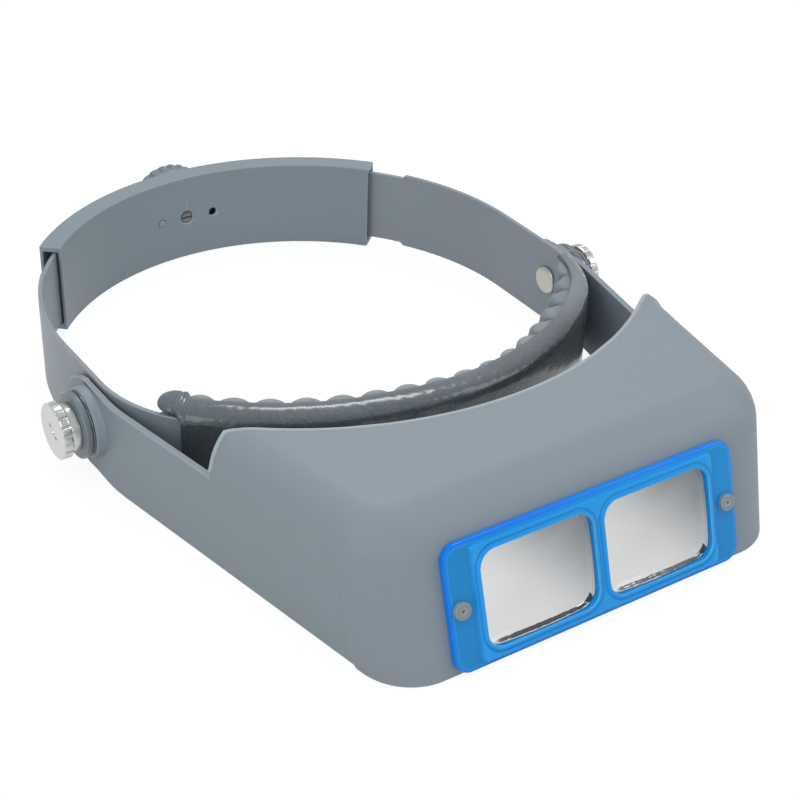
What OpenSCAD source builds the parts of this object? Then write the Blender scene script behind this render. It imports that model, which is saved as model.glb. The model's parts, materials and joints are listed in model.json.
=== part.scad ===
// Headband magnifier: a two-lens plate in a tilting hood, carried by an adjustable head strap.
// Millimetres. Seen from above the strap is an oval whose rear half is an arc about one centre.
// Places are worked out from that centre, with the table at z = 0, and moved once, by place().

/* [Head strap] */
// Inside of the strap at the temples, from the middle plane
band_half_w = 88.8; // [80:0.1:100]
// Inside of the strap at the forehead, in front of the centre of the rear arc
forehead_y = 91; // [84:0.1:100]
// Corner radius of the strap between forehead and temple
temple_r = 46; // [34:1:50]
// Height of the strap
strap_h = 30.5; // [24:0.5:34]
// Thickness of the strap
strap_t = 1.5; // [1:0.1:2]
// Height of the narrow tongues inside the rear cover
tongue_h = 28.1; // [22:0.1:30]
// Angle from the back at which the strap narrows to its tongue
shoulder_angle = 58; // [55:1:70]
// Length of a tongue past the middle of the back
tongue_past = 28; // [26:0.5:34]

/* [Sweatband] */
// Distance of the ribbed pad's left end from the pivot, along the strap
pad_gap_left = 23.2; // [10:0.1:40]
// Distance of the pad's right end from the pivot, along the strap
pad_gap_right = 11.2; // [10:0.1:40]
// Thickness of the pad at the top of a rib
pad_t = 8.4; // [6:0.1:10]
// Depth of the grooves between the ribs
rib_depth = 3; // [1:0.1:4]
// Ribs along the pad
rib_n = 18; // [10:1:20]
// Thickness of the vinyl cover in front of the strap
cover_t = 2.2; // [1.5:0.1:3]
// How far the vinyl cover stops short of the pad's left end
cover_gap_left = 13; // [4:0.5:30]
// How far the vinyl cover stops short of the pad's right end
cover_gap_right = 22; // [4:0.5:30]
// Height of the rolled fold over the top edge of the strap
fold_h = 2; // [1.5:0.1:3]

/* [Pivots] */
// Pivot axis in front of the centre of the rear arc
pivot_y = 26; // [20:0.5:30]
// Height of the pivot axis
pivot_z = 18; // [15:0.1:18.5]
// Radius of the pivot bolt's shank
bolt_r = 3; // [2:0.1:3.5]
// Radius of the flat bolt head inside the strap
bolt_head_r = 5.15; // [4.5:0.05:7]
// Thickness of the flat bolt head
bolt_head_t = 1.2; // [0.8:0.1:1.6]
// Thickness of the washer between strap and arm
inner_washer_t = 0.5; // [0.4:0.1:1.2]
// Radius of the washer between strap and arm
inner_washer_r = 9; // [7:0.5:12]
// Height of the round boss on each arm
boss_t = 3.2; // [1:0.1:4]
// Radius of the boss
boss_r = 12; // [11.6:0.1:14]
// Thickness of the spring washer
spring_washer_t = 0.65; // [0.4:0.05:1]
// Radius of the spring washer
spring_washer_r = 11.4; // [8:0.1:11.5]
// Thickness of the plastic washer
plastic_washer_t = 2.4; // [1:0.1:3]
// Radius of the plastic washer
plastic_washer_r = 11.1; // [8:0.1:11.4]
// Length of a thumb nut
nut_l = 6.6; // [5:0.1:8]
// Radius of a thumb nut over its flutes
nut_r = 9.3; // [8.6:0.1:10]
// Radius of the smooth collar under the fluted head
nut_collar_r = 7.8; // [6:0.1:8]
// Length of the collar
nut_collar_l = 3.3; // [2:0.1:4]
// Flutes round a nut
flute_n = 20; // [12:1:24]

/* [Visor] */
// Height of the arms
arm_h = 30.8; // [30.6:0.1:35]
// How far behind the pivot the middle of an arm's round end is
arm_past = 3; // [0:0.1:6]
// Wall of the visor
wall = 2.2; // [1.8:0.1:3]
// Height of the hood at its front
hood_h = 47.8; // [46:0.1:56]
// How much lower the hood is at its rear corners
hood_drop = 1.3; // [0:0.1:4]
// Front wall of the hood at the lens plate's middle, in front of the centre of the rear arc
hood_y = 163.3; // [155:0.5:170]
// Height of the lens plate's middle on the front wall
plate_z = 19; // [18.9:0.1:24]
// Lean of the front wall
front_tilt = 16.9; // [10:0.1:20]
// Inward slope of the hood's sides, as a share of their length
side_slope = 0.185; // [0.1:0.005:0.24]
// Rear corners of the hood, in front of the centre of the rear arc
hood_rear_y = 88.7; // [84:0.1:96]
// Radius of the hood's upright front corners
hood_corner_r = 18; // [14:1:22]
// Radius of the rounding round the hood's top
hood_edge_r = 13; // [8:0.5:13]
// Radius of the hollow rear rim, about the centre of the rear arc
rim_r = 118.6; // [112:0.1:124]
// Depth of the sunk side panel
panel_step = 0.6; // [0.3:0.1:0.8]
// Front end of the sunk side panel
panel_y = 138; // [128:1:142]

/* [Lens plate] */
// Width of the lens plate
plate_w = 104.2; // [98:0.1:110]
// Height of the lens plate
plate_h = 38.8; // [36:0.1:39]
// Corner radius of the lens plate
plate_r = 5; // [3:0.5:8]
// Thickness of the plate's end tabs
tab_t = 2.2; // [1.8:0.1:3]
// Width of each thin end tab
tab_w = 8.1; // [7:0.1:9.5]
// How much thicker the middle is than the tabs
block_t = 1.2; // [1:0.1:3]
// Distance from an end of the plate to the window beside it
end_w = 10.9; // [10.8:0.1:14]
// Height of a lens window
window_h = 29.5; // [26:0.1:31]
// Corner radius of a lens window
window_r = 5.2; // [4:0.1:10]
// Width of the bar between the lens windows
nose_bar = 4.2; // [4:0.1:9]
// Width of the raised rim round a window
rim_w = 1.3; // [0.8:0.1:1.6]
// Height of the raised rim
rim_h = 0.6; // [0.3:0.1:1]
// How far the lens flange reaches behind the frame
lens_flange = 1.2; // [0.8:0.1:1.5]
// Thickness of the lens flange
lens_flange_t = 1.4; // [1:0.1:1.8]
// Radius of the front curve of a lens
lens_front_r = 120; // [90:5:200]
// How far a lens stands behind the visor's front wall
lens_back = 1.6; // [1:0.1:3]
// Distance of each of the two buttons that hold the plate from the plate's end
button_inset = 3.8; // [3:0.1:4.5]
// Radius of a button's head
button_r = 2.65; // [2.2:0.05:3]
// Height of a button's head
button_t = 1.5; // [1:0.1:2]
// Radius of a button's shank
button_shank_r = 1.5; // [1.2:0.05:1.7]
// Thickness of the ring that keeps a button in
keeper_t = 1.2; // [0.8:0.1:2]

/* [Rear cover] */
// Wall of the rear cover
cover_wall = 1.2; // [1:0.05:1.2]
// Height of the rear cover
cover_h = 33.4; // [32.5:0.1:36]
// Half angle that the rear cover spans
cover_angle = 48; // [40:1:48]
// Height of the flat boss behind the rear cover
rear_boss_t = 1.1; // [0.8:0.1:2]
// Radius of the flat boss
rear_boss_r = 10; // [8:0.5:12]
// Distance of each small locating hole from the middle of the back
locating_x = 10.9; // [10:0.1:11.2]
// Radius of a locating hole
locating_r = 1.6; // [1.2:0.1:1.8]
// Radius of the screw hole in the inner wall
screw_hole_r = 2.5; // [2.4:0.05:3]

/* [Size knob] */
// Radius of the size knob
knob_r = 15.5; // [12:0.1:18]
// Length of the size knob
knob_l = 7.8; // [6:0.1:10]
// Finger flutes round the knob
knob_flute_n = 24; // [12:1:30]
// Pitch radius of the pinion
pinion_r = 5; // [5:0.1:5.2]
// Teeth on the pinion
pinion_n = 8; // [8:1:9]
// Height of a tooth above the pitch line
tooth_top = 0.9; // [0.6:0.05:1]
// Depth of a tooth gap below the pitch line
tooth_gap = 1.15; // [1.1:0.05:1.2]
// Width of a tooth at the pitch line
tooth_w = 1; // [0.9:0.05:1.2]
// Radius of the pinion's shaft
shaft_r = 2.9; // [2.4:0.1:3]
// Radius of the bush round the shaft
bush_r = 4.5; // [4:0.1:5]
// Radius of the screw that holds the knob
screw_r = 1.25; // [1:0.05:1.4]

/* [Fits] */
// Running clearance of a shaft in its hole
run = 0.05; // [0.02:0.01:0.08]
// Clearance between flat faces that turn on each other
face_gap = 0.1; // [0.05:0.01:0.2]
// Radial play of each tongue inside the rear cover
layer_gap = 0.85; // [0.75:0.05:1.2]
// Clearance between soft layers and what they lie on
soft_gap = 0.25; // [0.15:0.05:0.4]

/* [Hidden] */
$fn = 64;
thin = 0.001;
over = 1;

// Pivot stack, from the middle plane outwards
head_seat = 0.15;
bolt_head_x = band_half_w - head_seat - bolt_head_t;
strap_out_x = band_half_w + strap_t;
arm_in_x = strap_out_x + inner_washer_t + face_gap;
arm_out_x = arm_in_x + wall;
boss_x = arm_out_x + boss_t;
spring_x = boss_x + face_gap / 2;
washer_x = spring_x + spring_washer_t;
nut_x = washer_x + plastic_washer_t + face_gap / 2;
nut_end_x = nut_x + nut_l;
nut_skin = 1.1;
strap_z = (cover_h - strap_h) / 2;
strap_mid = cover_h / 2;

// The strap's front: a forehead arc, two temple corners and straight ends past the pivots
straight_y = pivot_y + 1.5;
temple_x = band_half_w - temple_r;
brow_d = forehead_y - straight_y;
brow_r = (temple_x * temple_x + brow_d * brow_d - temple_r * temple_r) / (2 * (brow_d - temple_r));
brow_y = brow_r - forehead_y;
brow_a = atan2(temple_x, brow_y + straight_y);
brow_l = brow_r * brow_a * PI / 180;
temple_l = temple_r * (90 - brow_a) * PI / 180;
joint_gap = 0.3;
pivot_s = brow_l + temple_l + straight_y - pivot_y;
pad_l = 2 * pivot_s - pad_gap_left - pad_gap_right;
pad_shift = (pad_gap_left - pad_gap_right) / 2;
cover_l = pad_l - cover_gap_left - cover_gap_right;
cover_shift = pad_shift + (cover_gap_left - cover_gap_right) / 2;

// Foot and top of the pad, its depth below the ribs, and the steps across one rib
pad_z0 = 1.2;
pad_z1 = strap_z + strap_h - 0.1;
pad_base = pad_t - rib_depth;
pad_steps = 6;

// The sides of the visor: parallel at the pivots, then drawn in towards the front
bend_y = pivot_y + 10;
bend_r = 60;
bend_a = atan(side_slope);
line_y = bend_y + bend_r * sin(bend_a);
line_x = arm_out_x - bend_r * (1 - cos(bend_a));
side_n = sqrt(1 + side_slope * side_slope);
panel_corner_r = 10;
panel_z = arm_h + 0.5;

// Lens plate on the leaning front wall, measured along its own normal
plate_sin = sin(front_tilt);
plate_cos = cos(front_tilt);
plate_seat = 0.01;
block_n = tab_t + block_t;
block_w = plate_w - 2 * tab_w;
button_gap = plate_w - 2 * button_inset;
window_w = (plate_w - nose_bar) / 2 - end_w;
lens_x = (nose_bar + window_w) / 2;
lens_apex = block_n + rim_h;
view_w = 2 * window_w + nose_bar + 2 * lens_flange + 1.4;
view_h = window_h + 2 * lens_flange + 0.6;

// Rear cover, tongues and knob, along the depth of the back
right_shift = strap_t + layer_gap;
hollow_in = band_half_w - layer_gap;
hollow_out = band_half_w + right_shift + strap_t + layer_gap;
cover_r = hollow_in - cover_wall;
cover_out = hollow_out + cover_wall;
cover_hollow_h = tongue_h + 1.2;
boss_back = cover_out + rear_boss_t;
brake_t = 0.6;
knob_front = boss_back + brake_t + 2 * face_gap;
knob_back = knob_front + knob_l;
pinion_front = hollow_in + 0.2;
pinion_back = hollow_out - 0.35;
pitch = 2 * PI * pinion_r / pinion_n;
slot_far = 24;
slot_near = 27;
slot_half = pinion_r + tooth_top + 0.6;

// The whole object is moved so that its box stands with its bottom's middle on the origin
front_y = -hood_y - (lens_apex * plate_cos + (window_h / 2 + rim_w) * plate_sin);
front_edge = -hood_y - (block_n * plate_cos + (plate_h / 2) * plate_sin);
shift_y = -(min(front_y, front_edge) + knob_back) / 2;

module place() translate([0, shift_y, 0]) children();

// Mirrors a piece made for the right side when side is -1
module on_side(side) mirror([side < 0 ? 1 : 0, 0, 0]) children();

// A cylinder along X from x0 to x1 on the pivot axis
module pivot_rod(r, x0, x1) translate([x0, -pivot_y, pivot_z]) rotate([0, 90, 0]) cylinder(r = r, h = x1 - x0);

// A cylinder along Y from y0 to y1 at the given place on the back
module back_rod(r, y0, y1, x = 0) translate([x, y0, strap_mid]) rotate([-90, 0, 0]) cylinder(r = r, h = y1 - y0);

module round_rect(w, h, r) {
    square([w - 2 * r, h], center = true);
    square([w, h - 2 * r], center = true);
    for (sx = [-1, 1], sy = [-1, 1])
        translate([sx * (w / 2 - r), sy * (h / 2 - r)]) circle(r);
}

// Part of a ring about the rear arc's centre, from angle a0 to a1 measured from the middle of the back
module back_ring(r0, r1, z0, z1, a0, a1)
    rotate([0, 0, 90 + a0])
        rotate_extrude(angle = a1 - a0, $fn = 180)
            translate([r0, z0]) square([r1 - r0, z1 - z0]);

// Area inside the front half of the strap, grown by o from the strap's inner face
module front_area(o) {
    intersection() {
        translate([0, brow_y]) circle(brow_r + o, $fn = 180);
        polygon([[0, brow_y], [-2 * brow_r * sin(brow_a), brow_y - 2 * brow_r * cos(brow_a)],
            [2 * brow_r * sin(brow_a), brow_y - 2 * brow_r * cos(brow_a)]]);
    }
    for (sx = [-1, 1]) translate([sx * temple_x, -straight_y]) circle(temple_r + o, $fn = 180);
    translate([-band_half_w - o, -straight_y]) square([2 * (band_half_w + o), straight_y + right_shift + over]);
    polygon([[-temple_x, -straight_y], [temple_x, -straight_y], [0, brow_y]]);
}

module front_band() place() color("slategray")
    difference() {
        translate([0, 0, strap_z]) linear_extrude(strap_h) difference() {
            front_area(strap_t);
            front_area(0);
            translate([-2 * band_half_w, -joint_gap]) square(2 * band_half_w);
            translate([0, right_shift - joint_gap]) square(2 * band_half_w);
        }
        for (side = [-1, 1]) on_side(side)
            pivot_rod(bolt_r + run, band_half_w - over, strap_out_x + over);
    }

// One side strap, for the left: an arc from the temple that narrows to a toothed tongue.
// teeth is 1 for teeth on the slot's upper edge and -1 for its lower edge; back is the shift
// of the arc's centre, which puts the right tongue outside the left one.
module side_strap(teeth, back) {
    mid_r = band_half_w + strap_t / 2;
    past = -tongue_past / mid_r * 180 / PI;
    slot_a0 = -slot_far / mid_r * 180 / PI;
    slot_a1 = slot_near / mid_r * 180 / PI;
    tooth_step = pitch / mid_r * 180 / PI;
    tooth_a = tooth_w / mid_r * 180 / PI;
    root = pinion_r + tooth_gap;
    tip = pinion_r - tooth_top;
    edge = (strap_h - tongue_h) / 2;
    translate([0, back, 0]) difference() {
        back_ring(band_half_w, band_half_w + strap_t, strap_z, strap_z + strap_h, past, 90);
        for (z = [strap_z - over, strap_z + strap_h - edge])
            back_ring(band_half_w - over, band_half_w + strap_t + over, z, z + edge + over,
                past - over, shoulder_angle);
        difference() {
            back_ring(band_half_w - over, band_half_w + strap_t + over,
                strap_mid - (teeth > 0 ? slot_half : root), strap_mid + (teeth > 0 ? root : slot_half),
                slot_a0, slot_a1);
            for (k = [ceil(slot_a0 / tooth_step) : floor(slot_a1 / tooth_step)])
                back_ring(band_half_w - 2 * over, band_half_w + strap_t + 2 * over,
                    strap_mid + (teeth > 0 ? tip : -root - over), strap_mid + (teeth > 0 ? root + over : -tip),
                    k * tooth_step - tooth_a / 2, k * tooth_step + tooth_a / 2);
        }
    }
}

module left_side_strap() place() color("slategray") side_strap(1, 0);
module right_side_strap() place() color("slategray") mirror([1, 0, 0]) side_strap(-1, right_shift);

// Point on the strap's inner face at distance s from the middle of the forehead, moved out by o
function brow_point(s, o) =
    let (t = abs(s), side = s < 0 ? -1 : 1)
    t < brow_l
        ? let (q = t / brow_r * 180 / PI) [side * (brow_r + o) * sin(q), brow_y - (brow_r + o) * cos(q)]
        : t < brow_l + temple_l
            ? let (q = brow_a + (t - brow_l) / temple_r * 180 / PI)
                [side * (temple_x + (temple_r + o) * sin(q)), -straight_y - (temple_r + o) * cos(q)]
            : [side * (band_half_w + o), -straight_y + (t - brow_l - temple_l)];

// Closed tube through rings of equal length, with flat ends
module ring_tube(rings) {
    n = len(rings[0]);
    m = len(rings);
    polyhedron(
        points = [for (ring = rings) each ring],
        faces = concat(
            [for (i = [0 : m - 2], j = [0 : n - 1])
                [i * n + j, (i + 1) * n + (j + 1) % n, (i + 1) * n + j]],
            [for (i = [0 : m - 2], j = [0 : n - 1])
                [i * n + j, i * n + (j + 1) % n, (i + 1) * n + (j + 1) % n]],
            [[for (j = [0 : n - 1]) n - 1 - j]],
            [[for (j = [0 : n - 1]) (m - 1) * n + j]]
        )
    );
}

// Ring of an offset and height profile at distance s along the forehead
function brow_ring(s, profile) = [for (q = profile) let (p = brow_point(s, q[0])) [p[0], p[1], q[1]]];

// The pad behind the strap: a flat back, and upright ribs that stand out from it towards the head
function rib_wave(s) = pow(abs(sin(180 * s * rib_n / pad_l)), 0.6);
function pad_end(s) = sqrt(1 - pow(2 * abs(s) / pad_l, 24) * 0.8);
function pad_profile(s) =
    let (b = soft_gap + pad_base * pad_end(s), e = 0.15 + rib_depth * rib_wave(s) * pad_end(s),
        k = min(1, e / 1.5))
    [[-soft_gap, pad_z0], [-soft_gap, pad_z1], [-b, pad_z1], [-b - 0.35 * e, pad_z1 + 1.4 * k],
        [-b - 0.85 * e, pad_z1 - 0.5], [-b - e, pad_z1 - 4], [-b - e, pad_z0 + 4],
        [-b - 0.8 * e, pad_z0 + 0.4 * k], [-b, pad_z0]];

module sweatband_pad() place() color("gray")
    ring_tube([for (i = [0 : rib_n * pad_steps])
        let (s = pad_l * (i / (rib_n * pad_steps) - 0.5)) brow_ring(s + pad_shift, pad_profile(s))]);

// The vinyl cover: one skin in front of the strap, rolled over its top and turned in below it
module sweatband_cover() place() color("darkslategray") {
    top = strap_z + strap_h + soft_gap;
    foot = 0.3;
    out = strap_t + soft_gap;
    profile = [[out, foot + 0.7], [out, top], [-pad_base, top], [-pad_base - 0.2, top + 0.4 * fold_h],
        [-pad_base / 2, top + fold_h], [0.4, top + fold_h], [0.35 * cover_t + out, top + 0.5 * fold_h],
        [out + 0.85 * cover_t, top - 1.5], [out + cover_t, top - 6], [out + cover_t, foot + 4.5],
        [out + 0.7 * cover_t, foot + 0.6], [out + 0.1 * cover_t, foot], [-pad_base + 1, foot],
        [-pad_base + 1, foot + 0.7]];
    steps = 44;
    ring_tube([for (i = [0 : steps]) brow_ring(cover_shift + cover_l * (i / steps - 0.5), backwards(profile))]);
}

module pivot_bolt(side) place() color("silver") on_side(side) {
    pivot_rod(bolt_head_r, bolt_head_x, bolt_head_x + bolt_head_t);
    pivot_rod(bolt_r, bolt_head_x + bolt_head_t / 2, nut_end_x - nut_skin - 0.2);
}
module left_pivot_bolt() pivot_bolt(-1);
module right_pivot_bolt() pivot_bolt(1);

module flat_washer(side, r, x, t) on_side(side)
    difference() {
        pivot_rod(r, x, x + t);
        pivot_rod(bolt_r + 2 * run, x - over, x + t + over);
    }

module left_inner_washer() place() color("gray") flat_washer(-1, inner_washer_r, strap_out_x, inner_washer_t);
module right_inner_washer() place() color("gray") flat_washer(1, inner_washer_r, strap_out_x, inner_washer_t);
module left_spring_washer() place() color("silver") flat_washer(-1, spring_washer_r, spring_x, spring_washer_t);
module right_spring_washer() place() color("silver") flat_washer(1, spring_washer_r, spring_x, spring_washer_t);
module left_plastic_washer() place() color("gray")
    flat_washer(-1, plastic_washer_r, washer_x, plastic_washer_t);
module right_plastic_washer() place() color("gray")
    flat_washer(1, plastic_washer_r, washer_x, plastic_washer_t);

// Fluted nut on a smooth collar, bored from its inner face, with a small dimple in its outer face
module thumb_nut(side) place() color("lightgray") on_side(side)
    difference() {
        union() {
            pivot_rod(nut_collar_r, nut_x, nut_x + nut_collar_l + thin);
            difference() {
                pivot_rod(nut_r, nut_x + nut_collar_l, nut_end_x);
                for (k = [0 : flute_n - 1])
                    translate([nut_x, -pivot_y, pivot_z]) rotate([k * 360 / flute_n, 0, 0])
                        translate([0, 0, nut_r + 0.35]) rotate([0, 90, 0])
                            cylinder(r = 0.95, h = nut_l + over, $fn = 24);
            }
        }
        pivot_rod(bolt_r + run, nut_x - over, nut_end_x - nut_skin);
        pivot_rod(1.1, nut_end_x - 0.6, nut_end_x + over);
    }
module left_thumb_nut() thumb_nut(-1);
module right_thumb_nut() thumb_nut(1);

// Outline of the hood at height z, drawn in by d: two rounded front corners and a straight rear
function front_line(z) = -hood_y + (z - plate_z) * plate_sin / plate_cos;
function side_line(y) = line_x + panel_step + side_slope * (y + line_y);
function hood_outline(z, d, rear_y) =
    let (r = hood_corner_r - d, cy = front_line(z) + hood_corner_r,
        cx = side_line(cy) - side_n * hood_corner_r, steps = 8)
    concat([for (k = [0 : steps]) let (a = -90 + (90 - bend_a) * k / steps) [cx + r * cos(a), cy + r * sin(a)]],
        [[side_line(rear_y) - side_n * d, rear_y], [-side_line(rear_y) + side_n * d, rear_y]],
        [for (k = [steps : -1 : 0]) let (a = -90 + (90 - bend_a) * k / steps) [-cx - r * cos(a), cy + r * sin(a)]]);

// Solid block of the hood: level at its foot, with a top that falls slightly to the rear
module hood_block(d, z0, rear_y) {
    edge_r = hood_edge_r - d;
    steps = 6;
    levels = concat([[z0, 0]], [for (k = [0 : steps]) let (a = 90 * k / steps)
        [hood_h - d - edge_r + edge_r * sin(a), edge_r * (1 - cos(a))]]);
    hull() for (lv = levels) {
        fall = z0 == lv[0] ? 0 : hood_drop / (hood_y - hood_rear_y) * lv[0] / hood_h;
        multmatrix([[1, 0, 0, 0], [0, 1, 0, 0], [0, -fall, 1, lv[0] - fall * hood_y]])
            linear_extrude(thin) polygon(hood_outline(lv[0], d + lv[1], rear_y));
    }
}

// Points of an arm's outer or inner face in plan, drawn in by d
function arm_line(d) = concat([[arm_out_x - d, 0]],
    [for (k = [0 : 4]) let (a = bend_a * k / 4)
        [arm_out_x - bend_r + (bend_r - d) * cos(a), -bend_y - (bend_r - d) * sin(a)]],
    [[side_line(-hood_rear_y - 12) - panel_step - side_n * d, -hood_rear_y - 12]]);

function backwards(list) = [for (k = [len(list) - 1 : -1 : 0]) list[k]];

// Side view of the arm and of the sunk panel, as a plate across X
module side_view(front, z0, z1, corner) rotate([90, 0, 90]) linear_extrude(2 * band_half_w) {
    end_y = pivot_y - arm_past;
    translate([-front + corner, z0]) square([front - end_y - corner, z1 - z0]);
    translate([-front, z0]) square([front - end_y, z1 - corner - z0]);
    translate([-front + corner, z1 - corner]) circle(corner);
    translate([-end_y, z0 + (z1 - z0) / 2]) circle((z1 - z0) / 2);
}

module arm() {
    intersection() {
        linear_extrude(arm_h) polygon(concat(arm_line(0), backwards(arm_line(wall))));
        side_view(hood_rear_y + 14, 0, arm_h, 1);
    }
    pivot_rod(boss_r, arm_out_x - over, boss_x);
}

module visor() place() color("lightslategray")
    difference() {
        union() {
            difference() {
                hood_block(0, 0, -hood_rear_y);
                hood_block(wall, -over, -hood_rear_y + 20);
                translate([0, 0, -over]) cylinder(r = rim_r, h = 2 * hood_h, $fn = 180);
                for (side = [-1, 1]) on_side(side) intersection() {
                    linear_extrude(3 * panel_z, center = true) polygon([
                        [side_line(-panel_y - 1) - panel_step, -panel_y - 1],
                        [side_line(-pivot_y) - panel_step, -pivot_y],
                        [side_line(-pivot_y) + 9, -pivot_y], [side_line(-panel_y - 1) + 9, -panel_y - 1]]);
                    side_view(panel_y, -over, panel_z, panel_corner_r);
                }
            }
            for (side = [-1, 1]) on_side(side) arm();
        }
        for (side = [-1, 1]) on_side(side) {
            pivot_rod(bolt_r + run, arm_in_x - over, boss_x + over);
            on_front() translate([button_gap / 2, 0]) rotate([90, 0, 0])
                cylinder(r = button_shank_r + run, h = 4 * wall, center = true);
        }
        on_front() rotate([90, 0, 0]) linear_extrude(4 * wall, center = true)
            round_rect(view_w, view_h, window_r + lens_flange);
    }

// Frame of the leaning front wall: x across, y inwards, z up the wall
module on_front() translate([0, -hood_y, plate_z]) rotate([-front_tilt, 0, 0]) children();

// A plate of the 2D shape from depth n0 to n1 in front of the wall
module on_wall(n0, n1) on_front() rotate([90, 0, 0]) translate([0, 0, n0]) linear_extrude(n1 - n0) children();

module lens_frame() place() color("dodgerblue", 0.8)
    difference() {
        union() {
            on_wall(plate_seat, tab_t) round_rect(plate_w, plate_h, plate_r);
            on_wall(tab_t / 2, block_n) round_rect(block_w, plate_h, 1.5);
            for (sx = [-1, 1]) on_wall(tab_t, block_n + rim_h) translate([sx * lens_x, 0])
                round_rect(window_w + 2 * rim_w, window_h + 2 * rim_w, window_r + rim_w);
        }
        for (sx = [-1, 1]) {
            on_wall(-over, block_n + over) translate([sx * lens_x, 0]) round_rect(window_w, window_h, window_r);
            on_wall(-over, lens_flange_t + face_gap) translate([sx * lens_x, 0])
                round_rect(window_w + 2 * lens_flange, window_h + 2 * lens_flange, window_r + lens_flange);
            on_wall(-over, tab_t + over) translate([sx * button_gap / 2, 0]) circle(button_shank_r + run);
        }
    }

// A thick lens: a flange held behind the frame and a body that fills the window, curved in front
module lens(side) place() color("white", 0.35) {
    gap = 0.15;
    on_wall(plate_seat, lens_flange_t) translate([side * lens_x, 0])
        round_rect(window_w + 2 * (lens_flange - gap), window_h + 2 * (lens_flange - gap),
            window_r + lens_flange - gap);
    intersection() {
        on_wall(-wall - lens_back, lens_apex + over) translate([side * lens_x, 0])
            round_rect(window_w - 2 * gap, window_h - 2 * gap, window_r - gap);
        on_front() translate([side * lens_x, lens_front_r - lens_apex, 0]) sphere(lens_front_r, $fn = 160);
    }
}
module left_lens() lens(-1);
module right_lens() lens(1);

// Push-in button with a small hole in its head, and the ring that keeps it from behind
module lens_button(side) place() color("gray")
    difference() {
        union() {
            on_wall(tab_t, tab_t + button_t) translate([side * button_gap / 2, 0]) circle(button_r);
            on_wall(-wall - keeper_t - 0.3, tab_t + thin) translate([side * button_gap / 2, 0])
                circle(button_shank_r);
        }
        on_wall(tab_t + 0.3, tab_t + button_t + over) translate([side * button_gap / 2, 0]) circle(0.45);
    }
module left_lens_button() lens_button(-1);
module right_lens_button() lens_button(1);

module button_keeper(side) place() color("gray")
    on_wall(-wall - keeper_t - 0.15, -wall - 0.15) translate([side * button_gap / 2, 0])
        difference() {
            circle(button_r + 0.6);
            circle(button_shank_r + run);
        }
module left_button_keeper() button_keeper(-1);
module right_button_keeper() button_keeper(1);

// Hollow curved sleeve, open at both ends, with the knob's boss behind it
module rear_cover() place() color("slategray")
    difference() {
        union() {
            back_ring(cover_r, cover_out, 0, cover_h, -cover_angle, cover_angle);
            back_rod(rear_boss_r, cover_out - 2 * cover_wall, boss_back);
            back_rod(screw_hole_r + 0.7, cover_r - 0.3, hollow_in);
        }
        back_ring(hollow_in, hollow_out, strap_mid - cover_hollow_h / 2, strap_mid + cover_hollow_h / 2,
            -cover_angle - over, cover_angle + over);
        back_rod(bush_r + run / 2, pinion_back, boss_back + over);
        back_rod(screw_hole_r, cover_r - over, pinion_front + over);
        for (x = [-locating_x, locating_x]) back_rod(locating_r, cover_r - 4, pinion_front, x);
    }

module guide_pin() place() color("gray")
    back_rod(locating_r - run, cover_r - 0.9, hollow_out - 0.9, -locating_x);

module knob_bush() place() color("burlywood")
    difference() {
        back_rod(bush_r, hollow_out - 0.1, boss_back);
        back_rod(shaft_r + run, hollow_in, boss_back + over);
    }

// Flat ring that holds the knob where it is set
module knob_brake_ring() place() color("dimgray")
    difference() {
        back_rod(rear_boss_r - 0.5, boss_back, boss_back + brake_t);
        back_rod(bush_r, boss_back - over, knob_front);
    }

// Pinion between the two toothed tongues, with its shaft
module size_pinion() place() color("gray")
    difference() {
        union() {
            back_rod(shaft_r, pinion_front, knob_front + knob_l / 2);
            translate([0, pinion_back, strap_mid]) rotate([90, 0, 0])
                linear_extrude(pinion_back - pinion_front) {
                    circle(pinion_r - tooth_gap);
                    for (k = [0 : pinion_n - 1]) rotate((k + 0.5) * 360 / pinion_n)
                        polygon([[-0.75 * tooth_w, 0], [0.75 * tooth_w, 0], [0.5 * tooth_w, pinion_r],
                            [0.32 * tooth_w, pinion_r + tooth_top], [-0.32 * tooth_w, pinion_r + tooth_top],
                            [-0.5 * tooth_w, pinion_r]]);
                }
        }
        back_rod(screw_r, pinion_front - over, knob_back);
    }

// Round knob with finger flutes and a hollow face towards the head
module size_knob() place() color("slategray")
    difference() {
        back_rod(knob_r, knob_front, knob_back);
        back_rod(shaft_r, knob_front - over, knob_front + knob_l / 2);
        back_rod(screw_r, knob_front, knob_back - 2);
        for (k = [0 : knob_flute_n - 1]) translate([0, knob_front - over, strap_mid])
            rotate([0, k * 360 / knob_flute_n, 0]) translate([knob_r + 0.5, 0, 0]) rotate([-90, 0, 0])
                cylinder(r = 1.3, h = knob_l + 2 * over, $fn = 24);
    }

// Screw that draws the knob onto the pinion, reached through the hole in the inner wall
module knob_screw() place() color("silver")
    difference() {
        union() {
            back_rod(screw_hole_r - 0.2, pinion_front - 1.15, pinion_front);
            back_rod(screw_r, pinion_front - 0.5, knob_back - 2.4);
        }
        translate([-screw_hole_r, pinion_front - 1.15 - over, strap_mid - 0.3])
            cube([2 * screw_hole_r, over + 0.6, 0.6]);
    }

front_band();
left_side_strap();
right_side_strap();
sweatband_pad();
sweatband_cover();
left_pivot_bolt();
right_pivot_bolt();
left_inner_washer();
right_inner_washer();
left_spring_washer();
right_spring_washer();
left_plastic_washer();
right_plastic_washer();
left_thumb_nut();
right_thumb_nut();
visor();
lens_frame();
left_lens();
right_lens();
left_lens_button();
right_lens_button();
left_button_keeper();
right_button_keeper();
rear_cover();
guide_pin();
knob_bush();
knob_brake_ring();
size_pinion();
size_knob();
knob_screw();
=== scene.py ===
"""Headband magnifier, dressed for the camera.

Lengths are millimetres in the strap's plan: x to the right as seen from in front, y to the back
from the middle of the strap's rear arc, z up from the table. metres() moves them to the frame.
"""

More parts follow.
